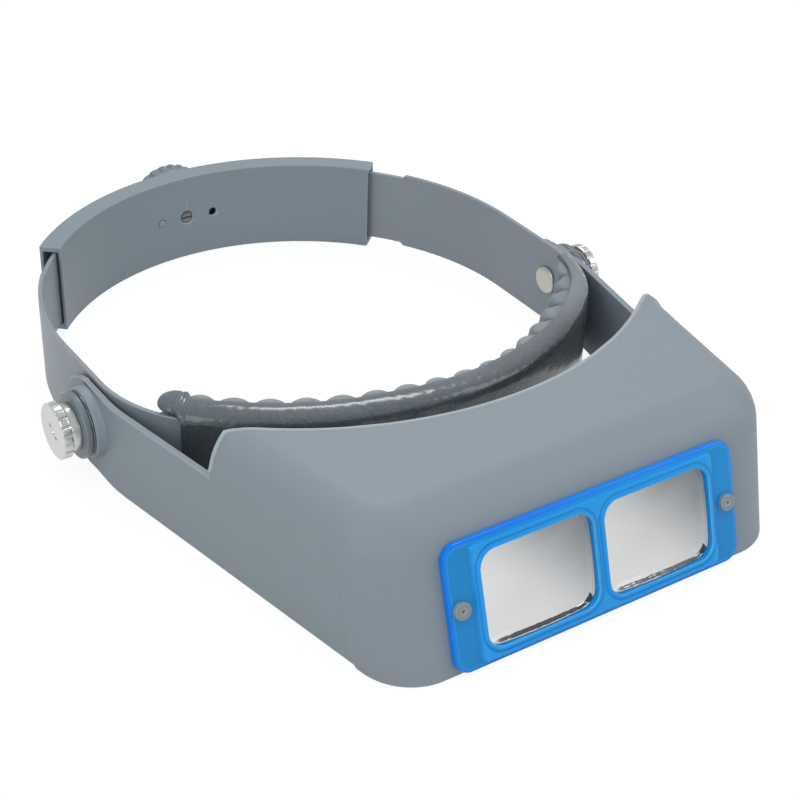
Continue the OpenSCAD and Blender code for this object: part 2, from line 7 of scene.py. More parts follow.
import bpy
import bmesh
import json
import math
import numpy as np
from mathutils import Matrix, Vector


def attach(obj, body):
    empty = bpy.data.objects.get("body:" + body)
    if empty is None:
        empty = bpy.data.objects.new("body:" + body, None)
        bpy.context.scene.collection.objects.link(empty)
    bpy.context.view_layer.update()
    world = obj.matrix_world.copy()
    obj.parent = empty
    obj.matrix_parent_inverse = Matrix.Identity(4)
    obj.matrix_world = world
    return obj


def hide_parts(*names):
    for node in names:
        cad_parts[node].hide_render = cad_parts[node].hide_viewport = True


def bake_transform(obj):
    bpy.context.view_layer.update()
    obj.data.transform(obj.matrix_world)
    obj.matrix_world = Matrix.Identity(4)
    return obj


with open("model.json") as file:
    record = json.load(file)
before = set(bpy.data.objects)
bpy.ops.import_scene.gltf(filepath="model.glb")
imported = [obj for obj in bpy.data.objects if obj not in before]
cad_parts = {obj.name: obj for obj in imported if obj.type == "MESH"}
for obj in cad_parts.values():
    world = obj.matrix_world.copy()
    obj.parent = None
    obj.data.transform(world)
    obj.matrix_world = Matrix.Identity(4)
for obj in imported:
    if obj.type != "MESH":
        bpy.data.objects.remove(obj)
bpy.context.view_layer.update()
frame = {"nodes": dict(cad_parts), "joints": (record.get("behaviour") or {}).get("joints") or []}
tilt = [j for j in frame["joints"] if j["name"] == "visor_tilt"][0]

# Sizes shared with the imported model
PIVOT_Y, PIVOT_Z, BOLT_R = -26.0, tilt["pos_m"][2] * 1000, 3.05
AT_PIVOT = (0, PIVOT_Y, PIVOT_Z)
SHIFT = tilt["pos_m"][1] * 1000 - PIVOT_Y
STRAP_MID, BAND_W, STRAP_T, STRAP_Z, STRAP_H = 16.7, 88.8, 1.5, 1.45, 30.5
FOREHEAD_Y, STRAIGHT_Y, TEMPLE_R = 91.0, 1.5 - PIVOT_Y, 46.0
WALL, ARM_H, ARM_END_Y = 2.2, 30.8, PIVOT_Y + 3
HOOD_Y, HOOD_REAR, RIM_R, CORNER_R = 163.3, 88.7, 118.6, 18.0
SIDE_TOP, SIDE_END, ROOF_Z, TOP_R = 34.8, 154.35, 47.8, 12.6
PLATE_W, PLATE_H, PLATE_R, BUTTON_X = 104.2, 38.8, 5.0, 48.3
LENS_X, WIN_W, WIN_H, WIN_R = 21.65, 39.1, 29.5, 5.2
LEAN, PLATE_Z = math.radians(16.9), 19.0
SIDES = (("left", -1), ("right", 1))

# The strap's inner face in front: a brow arc about (0, BROW_Y) that runs without a kink into a
# temple arc on each side. BROW_A is half the brow arc's angle; BROW_L and TEMPLE_L lie along the arcs
TEMPLE_X, BROW_D = BAND_W - TEMPLE_R, FOREHEAD_Y - STRAIGHT_Y
BROW_R = (TEMPLE_X ** 2 + BROW_D ** 2 - TEMPLE_R ** 2) / (2 * (BROW_D - TEMPLE_R))
BROW_Y = BROW_R - FOREHEAD_Y
BROW_A = math.atan2(TEMPLE_X, BROW_Y + STRAIGHT_Y)
BROW_L, TEMPLE_L = BROW_R * BROW_A, TEMPLE_R * (math.pi / 2 - BROW_A)

# An arm's outer face: straight at the pivot, an arc from TURN_Y, then the line of the hood's side
ARM_X, TURN_Y, TURN_R, SLOPE = 93.1, PIVOT_Y - 10, 60.0, 0.185
BEND, SIDE_N = math.atan(SLOPE), math.hypot(1, SLOPE)
LINE_X, LINE_Y = ARM_X - TURN_R * (1 - math.cos(BEND)), TURN_Y - TURN_R * math.sin(BEND)


def metres(points):
    """Plan millimetres to the frame's metres: the rear arc's middle lies SHIFT behind the origin."""
    return (np.asarray(points, float) + np.array([0.0, SHIFT, 0.0])) / 1000


def smooth(t):
    """0 below 0, 1 above 1, and 3t2 - 2t3 between."""
    t = np.clip(t, 0, 1)
    return t * t * (3 - 2 * t)


def hump(x, middle, width):
    """1 at the middle, falling off as a bell."""
    return np.exp(-((x - middle) / width) ** 2)


# Meshes


class Form:
    """Grids of points that become one mesh; points that coincide are joined, which closes seams."""

    def __init__(self):
        self.points, self.faces, self.uv, self.count = [], [], [], 0

    def grid(self, points, wrap_rows=False, wrap_cols=False, flip=False, uv=None):
        """Quads between the neighbours of a rows x columns array of points."""
        points = np.asarray(points, float)
        m, n = points.shape[:2]
        number = np.arange(m * n).reshape(m, n)
        if wrap_rows:
            number = np.vstack([number, number[:1]])
        if wrap_cols:
            number = np.hstack([number, number[:, :1]])
        corners = [number[:-1, :-1], number[:-1, 1:], number[1:, 1:], number[1:, :-1]]
        quads = np.stack(corners, -1).reshape(-1, 4)
        if flip:
            quads = quads[:, ::-1]
        self.points.append(points.reshape(-1, 3))
        self.uv.append(np.zeros((m * n, 2)) if uv is None else np.asarray(uv, float).reshape(-1, 2))
        self.faces.extend((quads + self.count).tolist())
        self.count += m * n
        return self

    def cap(self, loop, flip=False):
        """One flat face over a closed loop of points."""
        loop = np.asarray(loop, float)
        face = list(range(self.count, self.count + len(loop)))
        self.points.append(loop)
        self.uv.append(np.zeros((len(loop), 2)))
        self.faces.append(face[::-1] if flip else face)
        self.count += len(loop)
        return self

    def mesh(self, name, weld=0.004, closed=True):
        """The Blender mesh; points closer than `weld` millimetres become one."""
        mesh = bpy.data.meshes.new(name)
        mesh.from_pydata(metres(np.concatenate(self.points)).tolist(), [], self.faces)
        layer = mesh.uv_layers.new(name="along")
        corners = np.zeros(len(mesh.loops), int)
        mesh.loops.foreach_get("vertex_index", corners)
        layer.data.foreach_set("uv", np.concatenate(self.uv)[corners].ravel())
        return welded(mesh, weld, closed)


def welded(mesh, weld, closed=True):
    """Joins coincident points, drops empty faces and turns the faces of a closed form outward."""
    work = bmesh.new()
    work.from_mesh(mesh)
    bmesh.ops.remove_doubles(work, verts=work.verts, dist=weld / 1000)
    bmesh.ops.dissolve_degenerate(work, edges=work.edges, dist=1e-7)
    if closed:
        bmesh.ops.recalc_face_normals(work, faces=work.faces)
    work.to_mesh(mesh)
    work.free()
    return mesh


def placed(name, data):
    """A new object with this data, linked to the scene."""
    obj = bpy.data.objects.new(name, data)
    bpy.context.scene.collection.objects.link(obj)
    return obj


def coordinates(mesh):
    """A mesh's points, in metres."""
    co = np.zeros(len(mesh.vertices) * 3)
    mesh.vertices.foreach_get("co", co)
    return co.reshape(-1, 3)


def set_values(mesh, name, values):
    """A point attribute for a finish to read."""
    layer = mesh.attributes.new(name, "FLOAT", "POINT")
    layer.data.foreach_set("value", np.asarray(values, np.float32))


def worked(mesh, *steps):
    """The mesh after these modifiers, each a type and its settings."""
    obj = placed("work", mesh)
    for kind, settings in steps:
        modifier = obj.modifiers.new(kind.lower(), kind)
        for key, value in settings.items():
            setattr(modifier, key, value)
    graph = bpy.context.evaluated_depsgraph_get()
    result = bpy.data.meshes.new_from_object(obj.evaluated_get(graph), depsgraph=graph)
    bpy.data.objects.remove(obj)
    return result


def cut(mesh, *cutters):
    """The mesh less some closed cutters."""
    holders = [placed("cutter", cutter) for cutter in cutters]
    result = worked(mesh, *[("BOOLEAN", dict(operation="DIFFERENCE", solver="EXACT", object=holder))
                            for holder in holders])
    for holder in holders:
        bpy.data.objects.remove(holder)
    return result


# The moulded finishes read this attribute for their painted edge highlight.
def mark_edges(mesh):
    """Point attribute "edge": 1 less the length of the mean normal of the faces round a point, which
    is large on a bevel and almost nothing on a flat or gently curved face."""
    corners = np.zeros(len(mesh.loops), int)
    mesh.loops.foreach_get("vertex_index", corners)
    sizes = np.zeros(len(mesh.polygons), int)
    mesh.polygons.foreach_get("loop_total", sizes)
    normals = np.zeros(len(mesh.polygons) * 3)
    mesh.polygons.foreach_get("normal", normals)
    face = np.repeat(np.arange(len(sizes)), sizes)
    small = sizes[face] < 5
    corners, face = corners[small], face[small]
    total = np.zeros((len(mesh.vertices), 3))
    np.add.at(total, corners, normals.reshape(-1, 3)[face])
    count = np.bincount(corners, minlength=len(total))
    value = np.where(count > 0, 1 - np.linalg.norm(total, axis=1) / np.maximum(count, 1), 0)
    set_values(mesh, "edge", smooth((value - 0.008) / 0.02))


def piece(name, mesh, body, paint, stands_for=(), angle=35):
    """A finished piece: smooth shaded but for edges sharper than angle, riding on its body."""
    mesh.name = name
    obj = placed(name, mesh)
    mesh.shade_smooth()
    mark_edges(mesh)
    mesh.set_sharp_from_angle(angle=math.radians(angle))
    mesh.materials.clear()
    mesh.materials.append(paint)
    if body:
        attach(obj, body)
    if stands_for:
        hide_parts(*stands_for)
    return obj


def swept(path, out, profile):
    """Profile (offset, height) carried along a plan path whose outward directions are `out`."""
    profile = np.broadcast_to(profile, (len(path),) + profile.shape[-2:])
    plan = path[:, None, :] + out[:, None, :] * profile[..., :1]
    return np.concatenate([plan, profile[..., 1:]], -1)


def tube(rings, uv=None):
    """A closed form through equal rings, with a flat face at each end."""
    return Form().grid(rings, wrap_cols=True, uv=uv).cap(rings[0]).cap(rings[-1], flip=True)


def rounded(points, times=2):
    """Corners cut off again and again: each side of a closed loop keeps its middle half."""
    for _ in range(times):
        after = np.roll(points, -1, axis=-2)
        points = np.stack([0.75 * points + 0.25 * after, 0.25 * points + 0.75 * after], -2)
        points = points.reshape(points.shape[:-3] + (-1, points.shape[-1]))
    return points


def round_box(o0, o1, z0, z1, r, n=5):
    """A closed rectangle in offset and height with corners of radius r, and one more point on each
    side just past each corner, which keeps the sides flat under smooth shading."""
    a = np.radians(np.linspace(0, 90, n))
    loop = []
    for o, z, t in [(o1 - r, z1 - r, 0), (o0 + r, z1 - r, 90),
                    (o0 + r, z0 + r, 180), (o1 - r, z0 + r, 270)]:
        q = a + math.radians(t)
        arc = np.stack([o + r * np.cos(q), z + r * np.sin(q)], -1)
        out = np.array([[math.sin(q[0]), -math.cos(q[0])], [-math.sin(q[-1]), math.cos(q[-1])]]) * 0.12
        loop += [arc[:1] + out[0], arc, arc[-1:] + out[1]]
    return np.concatenate(loop)


def turned(profile, centre, axis, steps=96, reach=None):
    """A profile of (radius, place along the axis) turned about an X or Y axis; reach(angle) limits
    the radius, which cuts flutes, but for points whose third value is true."""
    profile = np.asarray(profile, float)
    a = np.linspace(0, 2 * math.pi, steps, endpoint=False)
    r = np.repeat(profile[:, :1], steps, 1)
    if reach is not None:
        r = np.minimum(r, reach(a)[None, :] + np.where(profile[:, 2:3] > 0, 99.0, 0.0))
    along = np.repeat(profile[:, 1:2], steps, 1)
    u, v = r * np.cos(a), r * np.sin(a)
    if axis == "x":
        points = np.stack([along, u + centre[1], v + centre[2]], -1)
    else:
        points = np.stack([u + centre[0], along, v + centre[2]], -1)
    return Form().grid(points, wrap_cols=True)


def rod(name, radius, start, end, axis="x", centre=AT_PIVOT, steps=40):
    """A plain closed cylinder between two places along an axis."""
    return turned([(0.0, start), (radius, start), (radius, end), (0.0, end)], centre, axis, steps).mesh(name)


def arc_profile(r, a, radius, start, end, n=4):
    """Points of a quarter rounding about (r, a) from angle start to end, in degrees."""
    t = np.radians(np.linspace(start, end, n))
    return [(r + radius * math.cos(q), a + radius * math.sin(q)) for q in t]


def disc(r0, r1, a0, a1, edge=0.3):
    """Profile of a flat turned part from inner radius r0 to r1 between places a0 and a1 along its
    axis, with edges rounded by `edge`."""
    low = arc_profile(r1 - edge, a0 + edge, edge, -90, 0)
    high = arc_profile(r1 - edge, a1 - edge, edge, 0, 90)
    return [(r0, a0)] + low + high + [(r0, a1), (r0, a0)]


# Finishes


class Value:
    """A socket with arithmetic: an expression on values adds its Math nodes."""

    def __init__(self, nodes, socket):
        self.nodes, self.socket = nodes, socket

    def calc(self, operation, *terms):
        return self.nodes.node("ShaderNodeMath", 0, {"operation": operation}, dict(enumerate(terms)))

    def __add__(self, other):
        return self.calc("ADD", self, other)

    def __sub__(self, other):
        return self.calc("SUBTRACT", self, other)

    def __rsub__(self, other):
        return self.calc("SUBTRACT", other, self)

    def __mul__(self, other):
        return self.calc("MULTIPLY", self, other)

    def __pow__(self, other):
        return self.calc("POWER", self, other)

    __radd__, __rmul__ = __add__, __mul__

    def sine(self):
        return self.calc("SINE", self)

    def most(self, other):
        return self.calc("MAXIMUM", self, other)

    def band(self, low, high):
        """0 at low, 1 at high, smooth between."""
        return self.nodes.node("ShaderNodeMapRange", 0, {"interpolation_type": "SMOOTHSTEP"},
                               {0: self, 1: low, 2: high})


def hue(code, gain=1.0):
    """An RRGGBB colour as written on a screen, as linear light."""
    parts = [int(code[k:k + 2], 16) / 255 for k in (0, 2, 4)]
    linear = [c / 12.92 if c <= 0.04045 else ((c + 0.055) / 1.055) ** 2.4 for c in parts]
    return tuple(gain * c for c in linear) + (1.0,)


class Nodes:
    """A node tree whose sockets take numbers and values alike."""

    def __init__(self, tree):
        self.tree = tree

    def feed(self, socket, value):
        if isinstance(value, Value):
            self.tree.links.new(value.socket, socket)
        else:
            socket.default_value = value

    def node(self, kind, out, settings=None, sockets=None):
        """A node of this type with its settings made first, then its sockets; gives one output."""
        node = self.tree.nodes.new(kind)
        for key, value in (settings or {}).items():
            if key == "stops":
                ramp = node.color_ramp
                while len(ramp.elements) < len(value):
                    ramp.elements.new(0.5)
                for element, (place, colour) in zip(ramp.elements, value):
                    element.position, element.color = place, colour
            else:
                setattr(node, key, value)
        for key, value in (sockets or {}).items():
            self.feed(node.inputs[key], value)
        return Value(self, node.outputs[out])


class Paint(Nodes):
    """One finish: a Principled shader and the nodes that vary it."""

    def __init__(self, name, constants):
        self.material = bpy.data.materials.new(name)
        self.material.use_nodes = True
        super().__init__(self.material.node_tree)
        self.shader = self.tree.nodes["Principled BSDF"]
        for key, value in constants.items():
            self.shader.inputs[key].default_value = value
        self.where = self.node("ShaderNodeTexCoord", "Object")

    def value(self, name):
        """A point attribute that set_values made."""
        return self.node("ShaderNodeAttribute", "Fac", {"attribute_name": name})

    def noise(self, scale, detail=3.0, rough=0.5, vector=None, warp=0.0):
        return self.node("ShaderNodeTexNoise", 0, None,
                         {"Vector": vector or self.where, "Scale": scale, "Detail": detail,
                          "Roughness": rough, "Distortion": warp})

    def blend(self, factor, one, two):
        return self.node("ShaderNodeMix", 2, {"data_type": "RGBA"}, {0: factor, 6: one, 7: two})

    def map(self, move=(0, 0, 0), turn=(0, 0, 0), stretch=(1, 1, 1)):
        return self.node("ShaderNodeMapping", 0, None,
                         {"Vector": self.where, "Location": move, "Rotation": turn, "Scale": stretch})

    def part(self, vector, index):
        return self.node("ShaderNodeSeparateXYZ", index, None, {0: vector})

    def colour(self, value):
        self.feed(self.shader.inputs["Base Color"], value)

    def roughness(self, value):
        self.feed(self.shader.inputs["Roughness"], value)

    def relief(self, height, depth):
        """Bump of this height pattern, depth in millimetres."""
        bump = self.node("ShaderNodeBump", 0, None,
                         {"Height": height, "Distance": depth / 1000, "Strength": 1.0})
        self.feed(self.shader.inputs["Normal"], bump)


def moulded_grey(name, code, rough, grain=0.05, grain_scale=1500.0, lip=1.45):
    """Satin moulded plastic: fine even grain, faint large clouds, small changes of gloss, and a
    painted highlight that makes edges up to `lip` times as bright."""
    p = Paint(name, {"Specular IOR Level": 0.42})
    fine = p.noise(grain_scale, 2.0, 0.6)
    broad = p.noise(16.0, 2.0, 0.5)
    scuff_and_highlight = p.noise(90.0, 4.0, 0.65, warp=0.4)
    edge = p.value("edge")
    tone = p.blend(broad, hue(code, 0.97), hue(code, 1.03))
    tone = p.blend(fine * 0.35, tone, hue(code, 1.09))
    # Painted highlight: edges are lightened towards `lip` times the colour, more where the noise is high
    p.colour(p.blend(edge * (0.55 + scuff_and_highlight * 0.4), tone, hue(code, lip)))
    p.roughness(rough + (scuff_and_highlight - 0.5) * 0.12 + (fine - 0.5) * 0.08 - edge * 0.12)
    p.relief(fine + scuff_and_highlight * 0.25, grain)
    return p.material


def turned_metal(name, code, rough, lines, centre=AT_PIVOT, axis="x"):
    """Bright plated metal with fine turning lines about an axis through centre."""
    p = Paint(name, {"Metallic": 1.0, "Specular IOR Level": 0.5})
    here = p.map(move=tuple(-metres(centre)))
    a, b = (p.part(here, 1), p.part(here, 2)) if axis == "x" else (p.part(here, 0), p.part(here, 2))
    radius = (a * a + b * b) ** 0.5
    rings = (radius * 9000.0).sine()
    smudge = p.noise(260.0, 4.0, 0.6)
    p.colour(p.blend(smudge, hue(code, 0.92), hue(code)))
    p.roughness(rough + (smudge - 0.5) * 0.18 + rings * 0.02)
    p.relief(rings * 0.5 + smudge * 0.7, 0.012 * lines)
    return p.material


def vinyl_cover():
    """Dark glossy vinyl: a smooth skin with fine crinkles that break up its highlight. Its colour holds
    painted shade low on the flap, painted light on top of the roll and a painted sheen to the right.
    """
    p = Paint("cover_vinyl", {"Specular IOR Level": 0.5, "Coat Weight": 1.0, "Coat Roughness": 0.17})
    uv = p.node("ShaderNodeTexCoord", "UV")
    right = p.part(uv, 0).band(0.5, 0.85)
    up = p.part(p.where, 2).band(0.0325, 0.0352)
    crinkle = p.noise(1.0, 4.0, 0.55, vector=p.map(stretch=(70.0, 40.0, 70.0)), warp=1.0)
    fine = p.noise(1.0, 4.0, 0.6, vector=p.map(stretch=(520.0, 420.0, 420.0)), warp=1.0)
    crease = p.node("ShaderNodeTexVoronoi", 0, {"feature": "DISTANCE_TO_EDGE"},
                    {"Vector": p.map(turn=(0, 0, 0.5), stretch=(330.0, 240.0, 240.0)), "Scale": 1.0})
    pores = p.noise(1600.0, 2.0, 0.6)
    broad = p.noise(40.0, 3.0, 0.55)
    # Painted shade and light: darker low on the flap, lighter on top of the roll
    low = p.blend(broad.band(0.3, 0.75), hue("313b41"), hue("3c474d"))
    high = p.blend(broad.band(0.3, 0.75), hue("4a555d"), hue("566169"))
    tone = p.blend(up, low, high)
    # Painted sheen: the top and the right side lighten towards a pale grey
    tone = p.blend(right * (up * 0.6 + 0.25), tone, hue("808b93"))
    p.colour(p.blend(pores * 0.15, tone, hue("3d474e")))
    p.roughness(0.34 + broad * 0.14 + pores * 0.1)
    p.relief(crinkle * 0.6 + fine * 1.3 + crease.band(0.0, 0.22) * 0.1 + pores * 0.04, 0.5)
    return p.material


def foam_pad():
    """Grey ribbed pad: matte skin with fine pores, with painted shade in the grooves and a painted
    highlight that makes the tops of its ribs paler.
    """
    p = Paint("pad_foam", {"Specular IOR Level": 0.4, "Sheen Weight": 0.1})
    uv = p.node("ShaderNodeTexCoord", "UV")
    rib, height = p.part(uv, 0), p.part(uv, 1)
    pores = p.noise(1500.0, 4.0, 0.65)
    broad = p.noise(45.0, 3.0, 0.55)
    inner = p.blend(broad, hue("707b83"), hue("86919a"))
    # Painted shade: the grooves between the ribs are darker
    inner = p.blend(rib.band(0.1, 0.75), hue("5e686f"), inner)
    # Painted highlight: the tops of the ribs are paler, less so to the right
    painted_top_highlight = height.band(0.72, 1.05) * (0.2 + rib * 0.5) * (1.0 - p.part(p.where, 0).band(0.03, 0.065) * 0.7)
    p.colour(p.blend(painted_top_highlight, inner, hue("a6acaf")))
    p.roughness(0.46 + pores * 0.2)
    p.relief(pores * 0.25 + broad * 0.9, 0.3)
    return p.material


def tinted_blue():
    """Clear tinted plastic, taken as a deep glossy blue: the tone runs from deep lines of painted shade
    over the tabs and the middle to pale painted highlights on the edges."""
    p = Paint("blue_plastic", {"Specular IOR Level": 0.25, "Coat Weight": 0.1, "Coat Roughness": 0.06})
    broad = p.noise(30.0, 2.0, 0.5)
    fine = p.noise(700.0, 3.0, 0.5)
    stops = [(0.0, hue("007cf2")), (0.14, hue("0088ee")), (0.3, hue("0088cc")),
             (0.5, hue("109cf0")), (0.75, hue("30aaf6")), (1.0, hue("86d2ff"))]
    base = p.node("ShaderNodeValToRGB", 0, {"stops": stops}, {0: p.value("tone")})
    p.colour(p.blend(broad.band(0.35, 0.7) * 0.35, base, hue("149cee")))
    p.roughness(0.14 + fine * 0.1)
    p.relief(fine * 0.4 + broad * 2.0, 0.03)
    return p.material


def lens_glass():
    """Optical acrylic: clear, polished, with the faintest waviness; its colour greys with a painted
    shade that each lens sets as a point attribute.
    """
    p = Paint("lens_glass", {"Transmission Weight": 1.0, "IOR": 1.49})
    wave = p.noise(30.0, 2.0, 0.5)
    p.colour(p.blend(p.value("cast") + (wave - 0.5) * 0.2, hue("ffffff"), hue("8d959c")))
    p.roughness(0.002 + wave * 0.004)
    return p.material


GREY_VISOR = moulded_grey("visor_plastic", "87939c", 0.5, grain=0.07, grain_scale=1000.0)
# Painted highlight: the lip is the visor's plastic in a paler grey, as where the rim catches the light
GREY_LIP_HIGHLIT = moulded_grey("lip_plastic_highlit", "98a3aa", 0.4, grain=0.04, grain_scale=1000.0)
GREY_STRAP = moulded_grey("strap_plastic", "89949c", 0.42, grain=0.03, grain_scale=1600.0)
GREY_SLEEVE = moulded_grey("sleeve_plastic", "84919a", 0.44, grain=0.04, grain_scale=1500.0)
GREY_KNOB = moulded_grey("knob_plastic", "77828a", 0.48, grain=0.04, grain_scale=1500.0)
GREY_WASHER = moulded_grey("washer_nylon", "6f7c84", 0.36, grain=0.02, grain_scale=1800.0, lip=1.25)
GREY_BUTTON = moulded_grey("button_nylon", "868e92", 0.35, grain=0.02, grain_scale=2500.0)
PALE_NYLON = moulded_grey("bush_nylon", "c9c6ba", 0.4, grain=0.02)
DARK_RUBBER = moulded_grey("brake_rubber", "26282a", 0.7, grain=0.05)
NICKEL = turned_metal("nickel", "d2d3d3", 0.24, 0.35)
# A darker copy of the nickel: painted shade for the spring ring in its gap and the dots on the nut
NICKEL_SHADED = turned_metal("nickel_shaded", "7e8183", 0.2, 0.4)
BOLT_STEEL = turned_metal("bolt_steel", "c2c0b8", 0.36, 0.6)
STEEL = turned_metal("steel", "77797b", 0.34, 1.0, (0, 0, STRAP_MID), "y")
VINYL, FOAM, BLUE, GLASS = vinyl_cover(), foam_pad(), tinted_blue(), lens_glass()


# The hood with its arms


def side_x(y):
    """Outer face of the hood's side round its sunk panel, straight and drawn in towards the front."""
    return LINE_X + 0.6 + SLOPE * (y - LINE_Y)


def arm_x(y):
    """Outer face of an arm at y: the straight, the arc or the line that its place gives."""
    q = np.clip((TURN_Y - y) / TURN_R, 0, math.sin(BEND))
    return np.where(y < LINE_Y, LINE_X + SLOPE * (y - LINE_Y), ARM_X - TURN_R * (1 - np.sqrt(1 - q * q)))


def hood_point(kind, t, z, d):
    """Plan point of the hood's outline at height z, drawn in by d. kind 0 is the side, t its y at
    the foot; kind 1 the upright corner, t its share of the turn; kind 2 the front, t its share
    of the way to the middle."""
    r = CORNER_R - d
    cy = -HOOD_Y + (z - PLATE_Z) * math.tan(LEAN) + CORNER_R
    cx = side_x(cy) - SIDE_N * CORNER_R

    def stretched(end):
        """The side's columns, with those in front of y = -140 spread to end at `end`."""
        return np.where(t > -140, t, -140 + (t + 140) * (end + 140) / (140 - SIDE_END))

    end_y = cy - r * math.sin(BEND)
    top_end = -HOOD_Y + (SIDE_TOP - PLATE_Z) * math.tan(LEAN) + CORNER_R - CORNER_R * math.sin(BEND)
    above = -HOOD_REAR + (stretched(top_end) + HOOD_REAR) * (end_y + HOOD_REAR) / (top_end + HOOD_REAR)
    y0 = np.where(z > SIDE_TOP, above, stretched(end_y))
    x0 = side_x(y0) - SIDE_N * d
    a = -BEND - t * (math.pi / 2 - BEND)
    x1, y1 = cx + r * np.cos(a), cy + r * np.sin(a)
    x2, y2 = cx * (1 - t), cy - r
    x = np.where(kind == 0, x0, np.where(kind == 1, x1, x2))
    y = np.where(kind == 0, y0, np.where(kind == 1, y1, y2))
    return x, y


def notch_shift(kind, y, z):
    """Above the arm the hood's rear edge steps forward by 2.6, and the shift fades to the front."""
    back = -2.6 * np.clip((z - 33.4) / 3.2, 0, 1)
    return np.where(kind == 0, back * np.exp((y + HOOD_REAR) / 7), 0)


def hood_half():
    """Rows up, columns from the rear corner round to the middle of the front. Above the side wall
    the column follows a quarter rounding and then the roof, straight to the rim circle; columns
    near the rear corner end where the rounding meets the rim."""
    side = -np.concatenate([[HOOD_REAR, 89.3, 90, 90.8, 91.8, 92.8], np.linspace(94, 136, 26),
                            np.arange(136.6, 153, 0.5), [SIDE_END]])
    turn, flat = np.linspace(0, 1, 19)[1:], np.linspace(0, 1, 25)[1:]
    kind = np.repeat([0.0, 1.0, 2.0], [len(side), len(turn), len(flat)])
    t = np.concatenate([side, turn, flat])
    low = np.concatenate([[0, 0.9, 2.0, 3.5, 7, 11, 15, 18, 20, 21], np.arange(21.5, 30.4, 0.5),
                          [30.4, ARM_H]])
    high = [31.2, 31.7, 32.2, 32.8, 33.4, 33.8, 34.2, 34.5, SIDE_TOP]
    z = np.concatenate([low, high])[:, None] + 0 * t
    x, y = hood_point(kind, t, z, 0.0)
    walls = np.stack([x, y + notch_shift(kind, y, z), z], -1)

    # How far round its rounding each column goes, and where its roof meets the rim
    a = np.linspace(0, math.pi / 2, 241)[:, None]
    ax, ay = hood_point(kind, t, ROOF_Z - TOP_R + TOP_R * np.sin(a), TOP_R * (1 - np.cos(a)))
    inside = np.hypot(ax, ay) < RIM_R
    full = ~inside.any(0)
    a_end = a[np.where(full, 240, inside.argmax(0)), 0]
    top_x, top_y = ax[-1], ay[-1]
    run = np.cumsum(np.hypot(np.diff(top_x, prepend=top_x[0]), np.diff(top_y, prepend=top_y[0])))
    start = np.argmax(full)
    share = np.clip((run - run[start]) / (run[-1] - run[start]), 0, 1)
    phi0 = math.atan2(-top_y[start], top_x[start])
    phi = phi0 + (math.pi / 2 - phi0) * share
    rim_x, rim_y = RIM_R * np.cos(phi), -RIM_R * np.sin(phi)
    roof = np.where(full, np.hypot(rim_x - top_x, rim_y - top_y), 0)

    # Rows at distances s from the top of the wall
    total = TOP_R * a_end + roof
    fine = np.linspace(0.25, 3.0, 12)[:, None] * np.minimum(total / 9, 1)
    steps = np.concatenate([np.linspace(0, 0.955, 25)[1:], [0.98, 1.0]])
    s = np.concatenate([fine, fine[-1] + steps[:, None] * (total - fine[-1])])
    angle = np.minimum(s / TOP_R, a_end)
    z = ROOF_Z - TOP_R + TOP_R * np.sin(angle)
    cx, cy = hood_point(kind, t, z, TOP_R * (1 - np.cos(angle)))
    cy = cy + notch_shift(kind, cy, z) * (1 - (s / np.maximum(total, 1e-9)) ** 2)
    share = np.where(roof > 0, np.clip((s - TOP_R * a_end) / np.maximum(roof, 1e-9), 0, 1), 0)
    x = cx + (rim_x - cx) * share
    y = cy + (rim_y - cy) * share
    points = np.concatenate([walls, np.stack([x, y, z], -1)])

    # The sunk panel: edge is the distance past its border, whose corner has a radius of 10
    ahead = np.stack([-t - 141 + 0 * points[..., 2], points[..., 2] - 26])
    edge = np.hypot(*np.maximum(ahead, 0)) + np.minimum(ahead.max(0), 0) - 10
    sunk = 0.6 * smooth((0.7 - edge) / 1.4) + 0.16 * hump(edge, 0.5, 0.5)
    points[..., 0] -= np.where(kind == 0, sunk, 0) * (points[..., 2] < 40)

    # The roof falls by 1 degree towards the rear
    points[..., 2] -= 0.01743 * (points[..., 1] + HOOD_Y) * np.clip(points[..., 2] - ARM_H, 0, None) / 17
    return points, len(low)


def arm_half(low_z):
    """Rows up, columns from the hood's rear corner back to y = -40, and then the round end."""
    y = np.concatenate([[88.7, 87.9, 87.1, 86.2], np.linspace(84.5, 41.5, 24), [40.0]]) * -1
    z = low_z[:, None] + 0 * y
    y = y + 0 * z
    straight = np.stack([arm_x(y), y, z], -1)
    half = ARM_H / 2
    a = np.radians(-90 + 180 * low_z / ARM_H)[:, None]
    c = np.linspace(0, 1, 17)
    ey = (1 - c) * -40 + c * (ARM_END_Y + half * np.cos(a))
    ez = (1 - c) * low_z[:, None] + c * (half + half * np.sin(a))
    return straight, np.stack([arm_x(ey), ey, ez], -1)


def plate_point(x, up, out):
    """A point on the leaning front wall: across, up the wall, and out from it."""
    x, up, out = np.broadcast_arrays(x, up, out)
    return np.stack([x, -HOOD_Y + up * math.sin(LEAN) - out * math.cos(LEAN),
                     PLATE_Z + up * math.cos(LEAN) + out * math.sin(LEAN)], -1)


def round_rect(w, h, r, n=9):
    """A closed rounded rectangle, w across and h up, as x and up."""
    a = np.radians(np.linspace(0, 90, n))
    return np.concatenate([np.stack([sx * (w / 2 - r) + r * np.cos(a + math.radians(t)),
                                     sy * (h / 2 - r) + r * np.sin(a + math.radians(t))], -1)
                           for sx, sy, t in [(1, 1, 0), (-1, 1, 90), (-1, -1, 180), (1, -1, 270)]])


def prism(name, outline, x, out0, out1):
    """A closed prism on the front wall over an outline, between two distances from the wall."""
    rings = np.stack([plate_point(outline[:, 0] + x, outline[:, 1], o) for o in (out0, out1)])
    return tube(rings).mesh(name)


